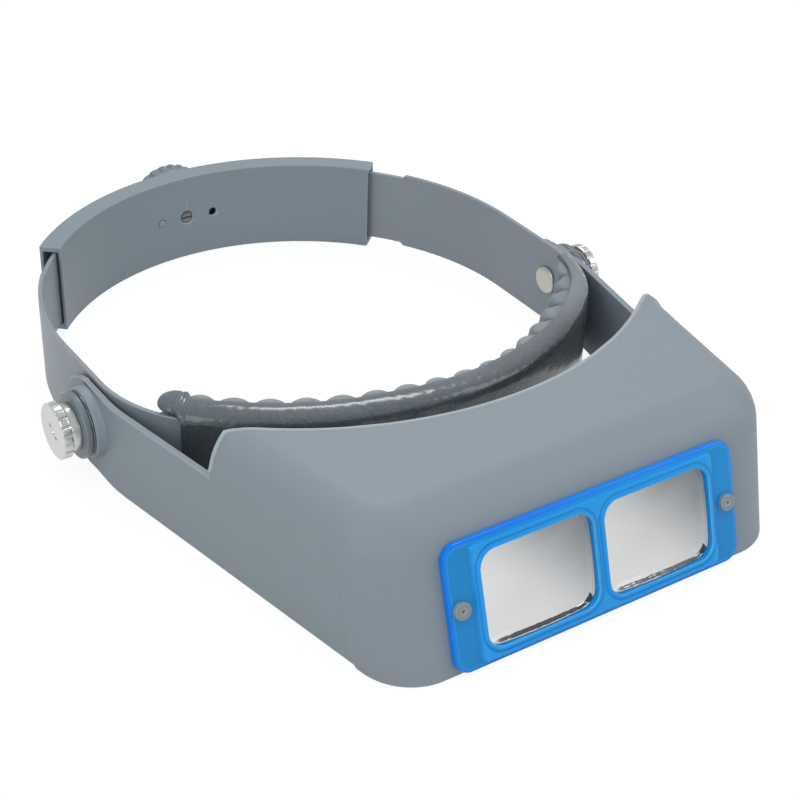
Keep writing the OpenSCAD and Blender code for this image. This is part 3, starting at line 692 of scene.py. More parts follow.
def make_visor():
    """Hood and arms as one outer sheet, mirrored in the middle plane and thickened inwards, with the
    lens window and the button and bolt holes cut through; then the lip and a turned boss on each arm."""
    half, count = hood_half()
    straight, end = arm_half(half[:count, 0, 2])
    mirror = np.array([-1.0, 1, 1])
    shell = Form()
    shell.grid(half, flip=True).grid(half * mirror)
    for part in (straight, end):
        shell.grid(part).grid(part * mirror, flip=True)
    mesh = shell.mesh("visor_sheet", weld=0.02, closed=False)
    mesh = worked(mesh, ("SOLIDIFY", dict(thickness=WALL / 1000, offset=-1)),
                  ("BEVEL", dict(width=0.45 / 1000, segments=3, limit_method="ANGLE",
                                 angle_limit=math.radians(52), use_clamp_overlap=False)))
    circle = round_rect(3.1, 3.1, 1.54, 8)
    cutters = [prism("window", round_rect(86.2, 32.5, 6.4), 0, -8, 5)]
    cutters += [prism("button_hole", circle, sx * BUTTON_X, -8, 5) for sx in (-1, 1)]
    cutters += [rod("bolt_hole", BOLT_R, 85 * sx, 99 * sx) for sx in (-1, 1)]
    mesh = cut(mesh, *cutters)
    piece("visor_shell", mesh, "visor", GREY_VISOR, ["visor"], angle=30)
    line = np.concatenate([half[count + 6:-1, 0], half[-1]])
    make_bead(np.concatenate([line, (line * mirror)[::-1][1:]]))
    for side, sx in SIDES:
        ring = [(BOLT_R, 92.3)] + arc_profile(11.5, 92.8, 0.5, -90, 0)
        ring += arc_profile(10.6, 95.4, 0.9, 0, 90, 6)
        ring += [(10.1, 96.3), (10.0, 96.2), (BOLT_R, 96.2), (BOLT_R, 92.3)]
        mesh = turned([(r, a * sx) for r, a in ring], AT_PIVOT, "x").mesh("boss")
        piece(side + "_arm_boss", mesh, "visor", GREY_VISOR)


def make_bead(line):
    """A thin raised lip along the hood's rear edges: a circle of radius 0.75 carried along the edge,
    its middle 0.35 below the outer face and 0.3 in front of the edge."""
    keep = np.concatenate([[True], np.linalg.norm(np.diff(line, axis=0), axis=1) > 0.35])
    line = line[keep]
    along = np.gradient(line, axis=0)
    along /= np.linalg.norm(along, axis=1)[:, None]
    into = np.array([0.0, -120.0, 20.0]) - line
    into -= (into * along).sum(1)[:, None] * along
    into /= np.linalg.norm(into, axis=1)[:, None]
    ahead = np.cross(along, into)
    ahead *= -np.sign(ahead[:, 1:2])
    a = np.linspace(0, 2 * math.pi, 16, endpoint=False)[None, :, None]
    middle = line + into * 0.35 + ahead * 0.3
    rings = middle[:, None, :] + 0.75 * (into[:, None] * np.cos(a) + ahead[:, None] * np.sin(a))
    # The lip is painted paler than the hood, a painted highlight along the rim
    piece("hood_lip", tube(rings).mesh("lip"), "visor", GREY_LIP_HIGHLIT)


make_visor()


# Lens plate, lenses and buttons


def rect_gap(x, up, w, h, r):
    """Distance outside a rounded rectangle, negative inside."""
    qx, qy = np.abs(x) - w / 2 + r, np.abs(up) - h / 2 + r
    return np.hypot(np.maximum(qx, 0), np.maximum(qy, 0)) + np.minimum(np.maximum(qx, qy), 0) - r


def plate_height(x, up):
    """Height of the plate's face: thin tabs, a thick middle with a sloping edge inside a thin
    border, a raised rim round each window with a groove outside it, and rounded outer edges. Its
    tone is 0 in grooves, 0.3 on the tabs, 0.5 on the middle and 1 on bright edges: the grooves and
    the deep lines along the border are painted shade, and the bright edges are painted highlights."""
    edge = -rect_gap(x, up, PLATE_W, PLATE_H, PLATE_R)
    block = -rect_gap(x, up, 88.0, 36.6, 2.2)
    window = rect_gap(np.abs(x) - LENS_X, up, WIN_W, WIN_H, WIN_R)
    step = smooth(block / 1.0)
    rim = smooth(window / 0.22) * (1 - smooth((window - 0.95) / 0.3))
    groove = hump(window, 1.55, 0.28)
    fall = np.clip(0.7 - edge, 0, 0.7)
    face = 2.2 + 1.2 * step + 0.4 * rim - 0.18 * groove - (0.7 - np.sqrt(np.maximum(0.49 - fall * fall, 0)))
    # Tabs and middle differ in tone; a painted highlight lightens the middle's side bevels
    tone = 0.3 + 0.22 * step + 0.08 * hump(block, 1.6, 1.2) * (np.abs(x) > 41.5)
    # Painted shade deepens the outer border, and a thin painted highlight runs just inside it
    tone = tone - 0.5 * hump(edge, 0.2, 0.55) + 0.3 * hump(edge, 1.15, 0.16)
    # Painted shade along the top and bottom edges of the middle
    tone = tone - 0.25 * hump(block, 0.25, 0.3) * (np.abs(x) < 43)
    # Painted highlight round each window, and painted shade in the groove outside its rim
    tone = tone + 0.4 * hump(window, 0.12, 0.14) - 0.26 * groove
    return face, np.clip(tone, 0, 1)


def make_plate():
    """Rays leave each window's outline along its normals and end on the plate's outline or its middle
    line; rings along them carry the face, and back, outer wall and window wall close the form."""
    turn = np.concatenate([np.linspace(q, q + 90, 46) for q in (0, 90, 180, 270)])
    corner = math.degrees(math.atan2(PLATE_H / 2 - (WIN_H / 2 - WIN_R), -(LENS_X - WIN_W / 2 + WIN_R)))
    turn[np.abs(turn - corner).argmin()] = corner
    turn[np.abs(turn - (360 - corner)).argmin()] = 360 - corner
    sx = np.repeat([1, -1, -1, 1], 46) * (WIN_W / 2 - WIN_R)
    sy = np.repeat([1, 1, -1, -1], 46) * (WIN_H / 2 - WIN_R)
    normal = np.stack([np.cos(np.radians(turn)), np.sin(np.radians(turn))], -1)
    foot = np.stack([sx + LENS_X, sy], -1) + WIN_R * normal
    feet, normals = [], []
    for k in range(len(foot)):
        nxt = (k + 1) % len(foot)
        long = np.linalg.norm(foot[nxt] - foot[k]) > 6
        share = np.linspace(0, 1, 49 if long else 2)[:-1, None]
        feet.append(foot[k] + (foot[nxt] - foot[k]) * share)
        normals.append(normal[k] + (normal[nxt] - normal[k]) * share)
    foot, normal = np.concatenate(feet), np.concatenate(normals)
    normal /= np.linalg.norm(normal, axis=1)[:, None]
    low, high = np.zeros(len(foot)), np.full(len(foot), 40.0)
    for _ in range(48):
        mid = (low + high) / 2
        p = foot + normal * mid[:, None]
        out = (rect_gap(p[:, 0], p[:, 1], PLATE_W, PLATE_H, PLATE_R) > 0) | (p[:, 0] < 0)
        low, high = np.where(out, low, mid), np.where(out, mid, high)
    reach = low
    near = np.array([0, 0.08, 0.2, 0.45, 0.8, 1.02, 1.15, 1.3, 1.45, 1.6, 1.75, 1.9,
                     2.1, 2.35, 2.6, 2.85, 3.1, 3.3])[:, None]
    far = np.linspace(0, 1, 56)[1:, None]
    rings = np.concatenate([np.minimum(near, reach),
                            np.minimum(near[-1], reach) + far * np.maximum(reach - near[-1], 0)])
    spots = foot[None] + normal[None] * rings[..., None]
    spots[..., 0] = np.maximum(spots[..., 0], 0)
    face, tone = plate_height(spots[..., 0], spots[..., 1])

    # The outer wall leaves out the rays that end on the middle line
    outer = np.where((foot + normal * reach[:, None])[:, 0] >= 1e-6)[0]
    outer = np.roll(outer, -int(np.argmax(np.diff(outer) > 1) + 1))
    outer = np.concatenate([[outer[0] - 1], outer, [outer[-1] + 1]]) % len(foot)
    back, rim = 0.012, spots[-1]
    up = np.array([0, 0.3, 0.75, 1])[:, None]
    under = rim + (foot - rim) * np.array([0, 0.5, 1])[:, None, None]
    wall = plate_point(rim[:, 0], rim[:, 1], back + (face[-1] - back) * up)
    # The outer wall takes the deep tone of the border's painted shade
    parts = [(plate_point(spots[..., 0], spots[..., 1], face), tone, True, 1),
             (wall[:, outer], 0.1, False, 0),
             (plate_point(foot[:, 0], foot[:, 1], back + (face[0] - back) * up), 0.55, True, -1),
             (plate_point(under[..., 0], under[..., 1], back), 0.4, True, 1)]
    form, tones = Form(), []
    for half in (1, -1):
        for points, shade, wrap, facing in parts:
            form.grid(points * [half, 1, 1], wrap_cols=wrap, flip=half * facing > 0)
            tones.append(np.broadcast_to(shade, points.shape[:2]).ravel())
    mesh = bpy.data.meshes.new("plate")
    mesh.from_pydata(metres(np.concatenate(form.points)).tolist(), [], form.faces)
    set_values(mesh, "tone", np.concatenate(tones))
    welded(mesh, 0.003)
    piece("lens_plate", mesh, "visor", BLUE, ["lens_frame"], angle=32)


def make_lens(side, sx):
    """A thick lens: a front bulging as a sphere of radius 120, a small chamfer, straight sides whose
    foot is rough cut, and a flat back. Painted shade greys the glass towards the upper right."""
    rng = np.random.default_rng(11 + sx)
    corners = round_rect(WIN_W - 0.3, WIN_H - 0.3, WIN_R - 0.15, 12)
    outline = []
    for p, q in zip(corners, np.roll(corners, -1, axis=0)):
        n = max(1, int(np.hypot(*(q - p)) / 0.7))
        outline.append(p + (q - p) * np.linspace(0, 1, n + 1)[:-1, None])
    outline = np.concatenate(outline)
    count = len(outline)
    middle, back = sx * LENS_X, -3.8
    rough = np.clip(-outline[:, 1] - 13.2, 0, 1)
    ridges = rng.uniform(-1, 1, count) * 0.16 * rough

    def ring(p, out):
        return plate_point(p[:, 0] + middle, p[:, 1], out)

    def bulge(p):
        return 4.0 - (120 - np.sqrt(120 ** 2 - p[:, 0] * p[:, 0] - p[:, 1] * p[:, 1]))

    rows = [ring(outline * share, bulge(outline * share)) for share in (0.0, 0.25, 0.5, 0.75, 0.9, 0.975)]
    depth = bulge(outline) - 0.3
    for f in np.linspace(0, 1, 9):
        pull = 1 - (0.004 + np.abs(ridges + rng.uniform(-1, 1, count) * 0.12 * rough) * 0.05) * (f > 0)
        rows.append(ring(outline * pull[:, None], depth + (back - depth) * f))
    rows += [ring(outline * 0.99, back), ring(outline * 0.0, back)]
    mesh = Form().grid(np.stack(rows), wrap_cols=True).mesh("lens", weld=0.01)
    co = coordinates(mesh) * 1000
    # Painted shade: the glass greys towards the upper right, for the shaded hood seen inside it
    cast = (co[:, 0] - middle) / WIN_W + (co[:, 2] - PLATE_Z) / WIN_H * 0.8
    set_values(mesh, "cast", smooth((cast + 0.55) / 1.3) ** 1.6)
    piece(side + "_lens_body", mesh, "visor", GLASS, [side + "_lens"], angle=28)


def plate_turned(profile, x):
    """A profile of (radius, distance out of the wall) turned about the wall's normal at x."""
    profile = np.asarray(profile, float)
    a = np.linspace(0, 2 * math.pi, 48, endpoint=False)
    r, out = profile[:, :1], profile[:, 1:]
    return Form().grid(plate_point(r * np.cos(a) + x, r * np.sin(a), out), wrap_cols=True)


def make_button(side, sx):
    """Push-in button: a low domed head with a rounded edge and a small blind hole, on a shank."""
    dome = [(0.0, 2.75), (0.42, 2.75), (0.45, 3.45), (0.62, 3.6), (1.4, 3.68)]
    edge = arc_profile(2.25, 3.26, 0.4, 90, 0, 5)
    shank = [(2.65, 2.2), (1.5, 2.2), (1.5, -3.3), (1.2, -3.6), (0.0, -3.6)]
    mesh = plate_turned(dome + edge + shank, sx * BUTTON_X).mesh("button")
    piece(side + "_button", mesh, "visor", GREY_BUTTON, [side + "_lens_button"], angle=40)
    keeper = [(1.55, -3.5), (1.55, -2.35), (3.0, -2.35), (3.25, -2.6), (3.25, -3.25), (3.0, -3.5),
              (1.55, -3.5)]
    mesh = plate_turned(keeper, sx * BUTTON_X).mesh("keeper")
    piece(side + "_keeper", mesh, "visor", GREY_WASHER, [side + "_button_keeper"], angle=40)


make_plate()
for side, sx in SIDES:
    make_lens(side, sx)
    make_button(side, sx)


# Head strap


def brow_path(s):
    """Plan point and outward direction at distance s along the strap's inner face from the middle
    of the forehead: a large arc, a temple arc and a straight run."""
    s = np.asarray(s, float)
    t, side = np.abs(s), np.where(s < 0, -1.0, 1.0)
    q1 = t / BROW_R
    q2 = BROW_A + (t - BROW_L) / TEMPLE_R
    first, second = t < BROW_L, t < BROW_L + TEMPLE_L
    x = np.where(first, BROW_R * np.sin(q1), np.where(second, TEMPLE_X + TEMPLE_R * np.sin(q2), BAND_W))
    y = np.where(first, BROW_Y - BROW_R * np.cos(q1),
                 np.where(second, -STRAIGHT_Y - TEMPLE_R * np.cos(q2), -STRAIGHT_Y + t - BROW_L - TEMPLE_L))
    nx = np.where(first, np.sin(q1), np.where(second, np.sin(q2), 1.0))
    ny = np.where(first, -np.cos(q1), np.where(second, -np.cos(q2), 0.0))
    return np.stack([side * x, y], -1), np.stack([side * nx, ny], -1)


def make_front_strap():
    """The strap from temple to temple, a band with rounded edges carried along the brow path."""
    reach = BROW_L + TEMPLE_L + STRAIGHT_Y - 12
    s = np.linspace(-reach, reach, 181)
    path, out = brow_path(s)
    mesh = tube(swept(path, out, round_box(0, STRAP_T, STRAP_Z, STRAP_Z + STRAP_H, 0.4))).mesh("strap")
    rods = [rod("hole", BOLT_R, 85 * sx, 93 * sx) for sx in (-1, 1)]
    piece("front_strap", cut(mesh, *rods), "head_band", GREY_STRAP, ["front_band"])


def make_side_strap(side, sx, back, teeth):
    """A straight run from y = -12 and an arc about the back, which narrows to a tongue at 58 degrees
    from the back; a slot in the tongue keeps the rack's teeth along one edge."""
    mid = BAND_W + STRAP_T / 2
    last = -math.degrees(28 / mid)
    arc = np.concatenate([np.linspace(90, 60, 21), [59.2, 58.6, 58.35, 58.1, 57.85, 57.6, 57],
                          np.linspace(55, last, 46)])
    run = np.linspace(-12, back, 9)[:-1]
    angle = np.concatenate([np.full(8, 90.0), arc])
    a = np.radians(arc)
    path = np.concatenate([np.stack([np.full(8, BAND_W), run], -1),
                           np.stack([BAND_W * np.sin(a), back + BAND_W * np.cos(a)], -1)])
    out = np.concatenate([np.tile([1.0, 0.0], (8, 1)), np.stack([np.sin(a), np.cos(a)], -1)])
    half = 14.05 + 1.2 * smooth((angle - 57.6) / 0.9)
    ends = (angle - last) / 90 * 141
    half = half - 1.5 * (1 - np.sqrt(np.clip(1 - np.clip(1 - ends / 1.5, 0, 1) ** 2, 0, 1)))
    profile = np.stack([round_box(0, STRAP_T, STRAP_MID - h, STRAP_MID + h, 0.4) for h in half])
    mesh = tube(swept(path, out, profile)).mesh("side_strap")

    # The slot's outline, as angle and height, with teeth along one side
    a0, a1, step, tooth = -24 / mid, 27 / mid, 3.927 / mid, 0.5 / mid
    root, tip, far = 6.15, 4.1, 6.5
    line = [(a1, root)]
    for k in range(math.floor(a1 / step), math.ceil(a0 / step) - 1, -1):
        corners = [(1, root), (0.9, tip), (-0.9, tip), (-1, root)]
        line += [(k * step + tooth * c, r) for c, r in corners if a0 < k * step + tooth * c < a1]
    line.append((a0, root))
    edge = np.array([(a0, -far), (a1, -far)] + line) * [1, teeth]
    rings = [np.stack([r * np.sin(edge[:, 0]), back + r * np.cos(edge[:, 0]), STRAP_MID + edge[:, 1]], -1)
             for r in (mid - 6, mid + 6)]
    mesh = cut(mesh, tube(np.stack(rings)).mesh("slot"))
    if sx < 0:
        mesh.vertices.foreach_set("co", (coordinates(mesh) * [-1, 1, 1]).ravel())
        mesh.flip_normals()
    obj = piece(side + "_strap", mesh, None, GREY_STRAP, [side + "_side_strap"])
    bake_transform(obj)


make_front_strap()
make_side_strap("left", -1, 0.0, 1)
make_side_strap("right", 1, 2.35, -1)


# Rear sleeve with its knob


def make_sleeve():
    """A curved hollow sleeve: outer skin one way, round the open end, hollow back the other way."""
    r0, r1, h0, h1 = 86.75, 94.7, 87.95, 93.5
    nib = 0.35

    def row(angle, grow, inner):
        if inner:
            box = round_box(h0 - grow, h1 + grow, 2.05 - grow, 31.35 + grow, 0.5 + grow, 6)
        else:
            box = round_box(r0 + grow, r1 - grow, grow, 33.4 - grow, 0.5, 6)
        return np.stack([box[:, 0] * math.sin(angle), box[:, 0] * math.cos(angle), box[:, 1]], -1)

    turn = np.radians(np.linspace(-48, 48, 193))
    turn = np.clip(turn, turn[0] + nib / 90, turn[-1] - nib / 90)
    soft = [(nib * (1 - math.cos(q)), nib * math.sin(q) / 90) for q in np.radians([30, 60, 90])]
    rows = [row(angle, 0, False) for angle in turn]
    rows += [row(turn[-1] + ahead, shrink, False) for shrink, ahead in soft]
    rows += [row(turn[-1] + ahead, shrink * 0.9, True) for shrink, ahead in soft[::-1]]
    rows += [row(angle, 0, True) for angle in turn[::-1]]
    rows += [row(turn[0] - ahead, shrink * 0.9, True) for shrink, ahead in soft]
    rows += [row(turn[0] - ahead, shrink, False) for shrink, ahead in soft[::-1]]
    mesh = Form().grid(np.stack(rows), wrap_rows=True, wrap_cols=True).mesh("sleeve", weld=0.01)

    def drill(x, outer, inner, depth):
        """A countersunk hole from inside the strap's loop, with one radius and then another."""
        profile = [(0.0, 80), (outer, 80), (outer, depth), (inner, depth + 0.6), (inner, 89), (0.0, 89)]
        return turned(profile, (x, 0, STRAP_MID), "y", 48).mesh("drill")

    drills = [drill(-10.9, 2.3, 1.6, 85.9), drill(10.9, 2.3, 1.6, 85.9), drill(0, 3.4, 2.5, 86.6)]
    drills.append(rod("drill", 4.53, 92, 97, "y", (0, 0, STRAP_MID), 48))
    mesh = cut(mesh, *drills)
    piece("sleeve", mesh, "rear_cover", GREY_SLEEVE, ["rear_cover"], angle=30)
    boss = turned(disc(4.55, 10.0, 93.6, 95.8, 0.3), (0, 0, STRAP_MID), "y", 72).mesh("boss")
    piece("sleeve_boss", boss, "rear_cover", GREY_SLEEVE)
    pin = [(0.0, 85.95), (1.0, 85.97), (1.35, 86.1), (1.52, 86.4), (1.55, 88), (1.55, 92.5), (0.0, 92.5)]
    mesh = turned(pin, (-10.9, 0, STRAP_MID), "y", 32).mesh("pin")
    piece("locating_pin", mesh, "rear_cover", GREY_SLEEVE, ["guide_pin"])


def groove_reach(r, centre, groove, count):
    """Largest radius at an angle where round grooves of radius `groove` lie `centre` from the axis."""
    def reach(a):
        step = 2 * math.pi / count
        q = (a + step / 2) % step - step / 2
        inside = np.maximum(groove ** 2 - (centre * np.sin(q)) ** 2, 0)
        cut_in = centre * np.cos(q) - np.sqrt(inside)
        return np.where(np.abs(centre * np.sin(q)) < groove, np.minimum(r, cut_in), r)
    return reach


def make_knob():
    """Fluted knob: a rounded rim cut by 24 grooves, a dished back face with a low middle."""
    a0, a1 = 96.6, 104.4
    profile = [(0.0, a0 + 0.3), (2.95, a0 + 0.3), (3.2, a0), (14.6, a0), (15.25, a0 + 0.25), (15.5, a0 + 0.9)]
    profile += [(15.5, a) for a in np.linspace(a0 + 1.5, a1 - 1.6, 5)]
    profile += [(14.2 + 1.3 * math.cos(q), a1 - 1.3 + 1.3 * math.sin(q))
                for q in np.radians([20, 45, 70, 90])]
    profile += [(13.2, a1 - 0.02), (12.7, a1 - 0.15), (12.3, a1 - 0.7), (9, a1 - 0.95), (6.2, a1 - 0.95),
                (5.8, a1 - 0.6), (5.3, a1 - 0.4), (0.0, a1 - 0.35)]
    profile = [(r, a, a < a0 + 1.9 or r < 13.3) for r, a in profile]
    form = turned(profile, (0, 0, STRAP_MID), "y", 360, groove_reach(15.5, 16.0, 1.3, 24))
    piece("knob", form.mesh("knob"), "size_knob", GREY_KNOB, ["size_knob"], angle=30)
    a = 87.0
    head = [(0.0, 93.0), (1.25, 93.0), (1.25, 88.2), (2.3, 88.15), (2.3, a + 0.45), (2.15, a + 0.15),
            (1.5, a), (0.0, a - 0.02)]
    mesh = turned(head, (0, 0, STRAP_MID), "y", 48).mesh("screw")
    ring = np.array([(-3, a - 1, -0.32), (3, a - 1, -0.32), (3, a + 0.6, -0.32), (-3, a + 0.6, -0.32)])
    ring[:, 2] += STRAP_MID
    mesh = cut(mesh, tube(np.stack([ring, ring + [0, 0, 0.64]])).mesh("slot"))
    piece("screw_head", mesh, "size_knob", STEEL, ["knob_screw"])


make_sleeve()
make_knob()


# Pad and its vinyl cover


def make_pad():
    """A ribbed pad: 18 upright ribs on a base. Across one rib the depth is a rounded lobe that meets
    the next in a crease, and the creases lean with the height; the right end is drawn thin."""
    ribs, length, shift = 18, 2 * 103.98, 6.0
    u = np.linspace(-0.5, 0.5, 18 * ribs + 1)
    s = u * length
    blunt = np.where(u < 0, np.abs(2 * u) ** 14 * 0.95, np.abs(2 * u) ** 26 * 0.86)
    end = np.sqrt(np.clip(1 - blunt, 0, 1))
    tail, right = smooth((s - 70) / 30), smooth((s - 5) / 50)

    # Round the profile: height, share of the base's depth and share of a rib's depth
    table = [(1.5, 0, 0), (31.85, 0, 0), (32.25, 0.35, 0), (32.45, 1, 0.15), (32.05, 1, 0.85),
             (30.25, 1, 1.0), (26.85, 1, 1.05), (22, 1, 1.08), (17, 1, 1.08), (12, 1, 1.08), (8, 1, 1.06),
             (5.7, 1, 1.0), (2.0, 1, 0.8), (1.0, 1, 0.1), (1.0, 0.3, 0)]
    heights, base, share = np.array(table).T
    lean = (heights - 17) * 0.1
    wave = np.abs(np.sin(math.pi * (s[:, None] + lean) * ribs / length)) ** 0.65
    rib = ((3.4 + 1.8 * right[:, None]) * wave * (1 - 0.7 * tail[:, None]) + 0.1) * end[:, None]
    o = -0.25 - 5.2 * end[:, None] * base - rib * share
    z = heights + 0 * o

    # The top edge rises on the crests and at the left, and drops at the right and at the left end
    crest = wave[:, 4] * end
    lift = (3.2 * smooth((29 - s) / 60) - 0.6) * (1 - smooth((-s - 91) / 5))
    raised = np.array([[0.2, 0, 0], [0.4, 0.6, 0.55], [0.3, 1.4, 1], [0, 0.6, 0.8], [0, 0, 0.4]])
    z[:, 2:7] += np.stack([np.ones_like(s), crest, lift], -1) @ raised.T
    z[:, 3:7] -= right[:, None] * np.array([0.3, 1.6, 3.0, 3.0])
    z[:, 1:6] -= 4.5 * smooth((-s - 95) / 8)[:, None]
    profile = rounded(np.stack([o, z], -1), 2)
    path, out = brow_path(s + shift)
    rings = swept(path, out, profile)
    rng = np.random.default_rng(5)
    ripple = np.zeros(rings.shape[:2])
    for _ in range(14):
        f, g, ph = rng.uniform(0.15, 0.7), rng.uniform(-0.5, 0.5), rng.uniform(0, 6.3)
        ripple += rng.uniform(0.01, 0.05) * np.sin(s[:, None] * f + profile[..., 1] * g + ph)
    inner = smooth((-profile[..., 0] - 2.5) / 3)
    rings[..., :2] -= out[:, None, :] * (ripple * inner)[..., None]
    # The UV carries the rib wave and the height, where the foam finish paints shade in the grooves and a
    # highlight on the rib tops
    lobes = rounded(np.stack([wave, wave], -1), 2)[..., 0]
    uv = np.stack([lobes, np.clip((profile[..., 1] - 20) / 13, 0, 1)], -1)
    mesh = tube(rings, uv).mesh("pad")
    obj = piece("ribbed_pad", mesh, "head_band", FOAM, ["sweatband_pad"], angle=60)


def make_cover():
    """Vinyl skin: a flap outside the strap from s = -85 to 88, and a roll over the strap's top edge,
    higher on the left, that goes on past both ends. Past the flap the lower points join the roll: the
    left end swells into a lobe on the pad's end and the right end tapers to a flat fold."""
    top, foot, inside = 32.2, 0.3, 1.75

    # Profiles of 21 points: the roll high, low and thin, then the lobe, and the fold's lower points
    flap = [[inside, foot + 0.9], [inside, 10], [inside, 28], [inside, top - 0.6], [0.9, top]]
    front = [[4.2, 22], [4.0, 15], [3.95, foot + 4.5], [3.4, foot + 0.4], [2.0, foot],
             [-4.6, foot], [-4.6, foot + 0.8]]
    high = np.array(flap + [[-4.2, top], [-5.4, 33.0], [-6.1, 34.6], [-5.4, 36.2], [-2.7, 37.0],
                            [1.6, 36.0], [3.4, 34.6], [4.3, 32.3], [4.4, 29]] + front)
    low = np.array(flap + [[-4.8, top], [-5.8, 32.7], [-6.0, 33.5], [-5.2, 34.4], [-3.0, 34.9],
                           [0.3, 34.8], [2.9, 33.7], [4.3, 31.8], [4.4, 28.5]] + front)
    thin = low.copy()
    thin[5:9, 0] += [1.4, 2.2, 2.4, 2.0]
    thin[11:17, 0] -= [0.5, 1.0, 1.0, 0.9, 0.8, 0.7]
    lobe = np.array([[0.2, 32.6], [0.2, 32.5], [0.1, 32.4], [-0.1, 32.3], [-0.6, 32.25], [-4.3, 31.6],
                     [-7.4, 31.7], [-9.3, 33.0], [-9.2, 35.0], [-6.7, 36.5], [-2.7, 36.3], [-0.3, 35.3],
                     [0.9, 34.2], [1.1, 33.6], [1.1, 33.3], [1.0, 33.1], [0.9, 32.95], [0.8, 32.85],
                     [0.6, 32.75], [0.45, 32.7], [0.3, 32.65]])
    fold = [[3.4, 30.0], [3.25, 29.4], [3.0, 28.9], [2.7, 28.6], [2.4, 28.45], [2.2, 28.4], [2.0, 28.5],
            [1.9, 28.7]]

    # Along the strap: rows stand close where the flap ends
    s = np.concatenate([np.linspace(-96, -90, 26), np.linspace(-89.7, -85.2, 20), [-85.05, -84.95],
                        np.linspace(-84.8, 87.8, 340), [87.95, 88.05], np.linspace(88.2, 112.5, 56)])
    left, right, ahead = (smooth(q)[:, None, None] for q in ((35 - s) / 60, (s - 20) / 50, (s + 90) / 7))
    here = low + (high - low) * left + (thin - low) * right
    here[:, 5:13] = lobe[5:13] + (here[:, 5:13] - lobe[5:13]) * ahead
    here[s < -85, :5], here[s < -85, 13:] = lobe[:5], lobe[13:]
    here[s > 88, :3] = [[inside, 28.9], [inside, 29.6], [inside, 30.6]]
    here[s > 88, 13:] = fold
    tail = smooth((s - 74) / 36)[:, None]
    inner = smooth((0.5 - here[..., 0]) / 4) * (here[..., 1] > 20)
    upper = smooth((here[..., 1] - top + 0.5) / 1.5)
    here[..., 0] += 0.4 * tail * inner - 0.8 * tail ** 2 * (here[..., 0] > 1.9)
    here[..., 1] -= tail * upper

    # Both ends close towards a middle
    nose = np.where(s < -90, np.sqrt(np.clip(1 - ((-90 - s) / 6.05) ** 2, 0.004, 1)), 1.0)
    blunt = np.where(s > 111, np.sqrt(np.clip(1 - ((s - 111) / 1.5) ** 2, 0.03, 1)), 1.0)
    hub = np.where((s < 0)[:, None, None], [-4.2, 34.0], [0.6, top + 0.2])
    here = hub + (here - hub) * (nose * blunt)[:, None, None]
    here = rounded(here, 2)
    side = np.roll(here, -1, 1) - np.roll(here, 1, 1)
    normal = np.stack([side[..., 1], -side[..., 0]], -1)
    normal /= np.maximum(np.linalg.norm(normal, axis=-1), 1e-9)[..., None]

    # Folds and crinkles, at S along the strap and T round the profile, where the skin shows
    T = np.concatenate([[0], np.cumsum(np.linalg.norm(np.diff(here[200], axis=0), axis=1))])
    S, T = np.meshgrid(s, T, indexing="ij")
    o, z = here[..., 0], here[..., 1]
    seen = np.clip(smooth((o - 1.9) / 0.7) * smooth((z - 3) / 3) + smooth((z - top - 0.5) / 0.7), 0, 1)
    rng = np.random.default_rng(23)
    warp = 0
    for _ in range(6):
        depth, f, g = rng.uniform(0.5, 1.6), rng.uniform(0.03, 0.12), rng.uniform(0.1, 0.4)
        warp = warp + depth * np.sin(S * f + T * g + rng.uniform(0, 6.3))
    folds = np.zeros_like(S)
    for _ in range(10):
        f, g = rng.uniform(0.08, 0.35), rng.uniform(0.3, 1.0)
        depth, phase = rng.uniform(0.01, 0.035), rng.uniform(0, 6.3)
        folds += depth * (np.abs(np.sin(0.5 * (S * f + T * g + warp + phase))) - 0.6)
    crinkle = np.zeros_like(S)
    for _ in range(10):
        f, g = rng.uniform(0.8, 2.0), rng.uniform(-1.2, 1.2)
        crinkle += rng.uniform(0.006, 0.02) * np.sin(S * f + T * g + 1.3 * warp + rng.uniform(0, 6.3))
    shoulder = hump(o, 1.5, 2.2) * smooth((z - 27) / 3)
    dent = 0.7 * hump(S + 0.4 * (z - 34), -86.3, 1.1) * smooth((z - 30) / 3)
    puckers = 0.05 * (np.abs(np.sin(S * 0.55 + T * 0.8)) ** 0.5 - 0.7) * smooth((S - 80) / 20)
    move = (folds + crinkle * (0.35 + 0.6 * shoulder) - dent + puckers) * seen
    here = here + normal * move[..., None]
    path, out = brow_path(s)
    mesh = tube(swept(path, out, here), np.stack([S, T], -1) / 100).mesh("cover")
    obj = piece("vinyl_cover", mesh, "head_band", VINYL, ["sweatband_cover"], angle=50)


make_pad()
make_cover()


# Pivots


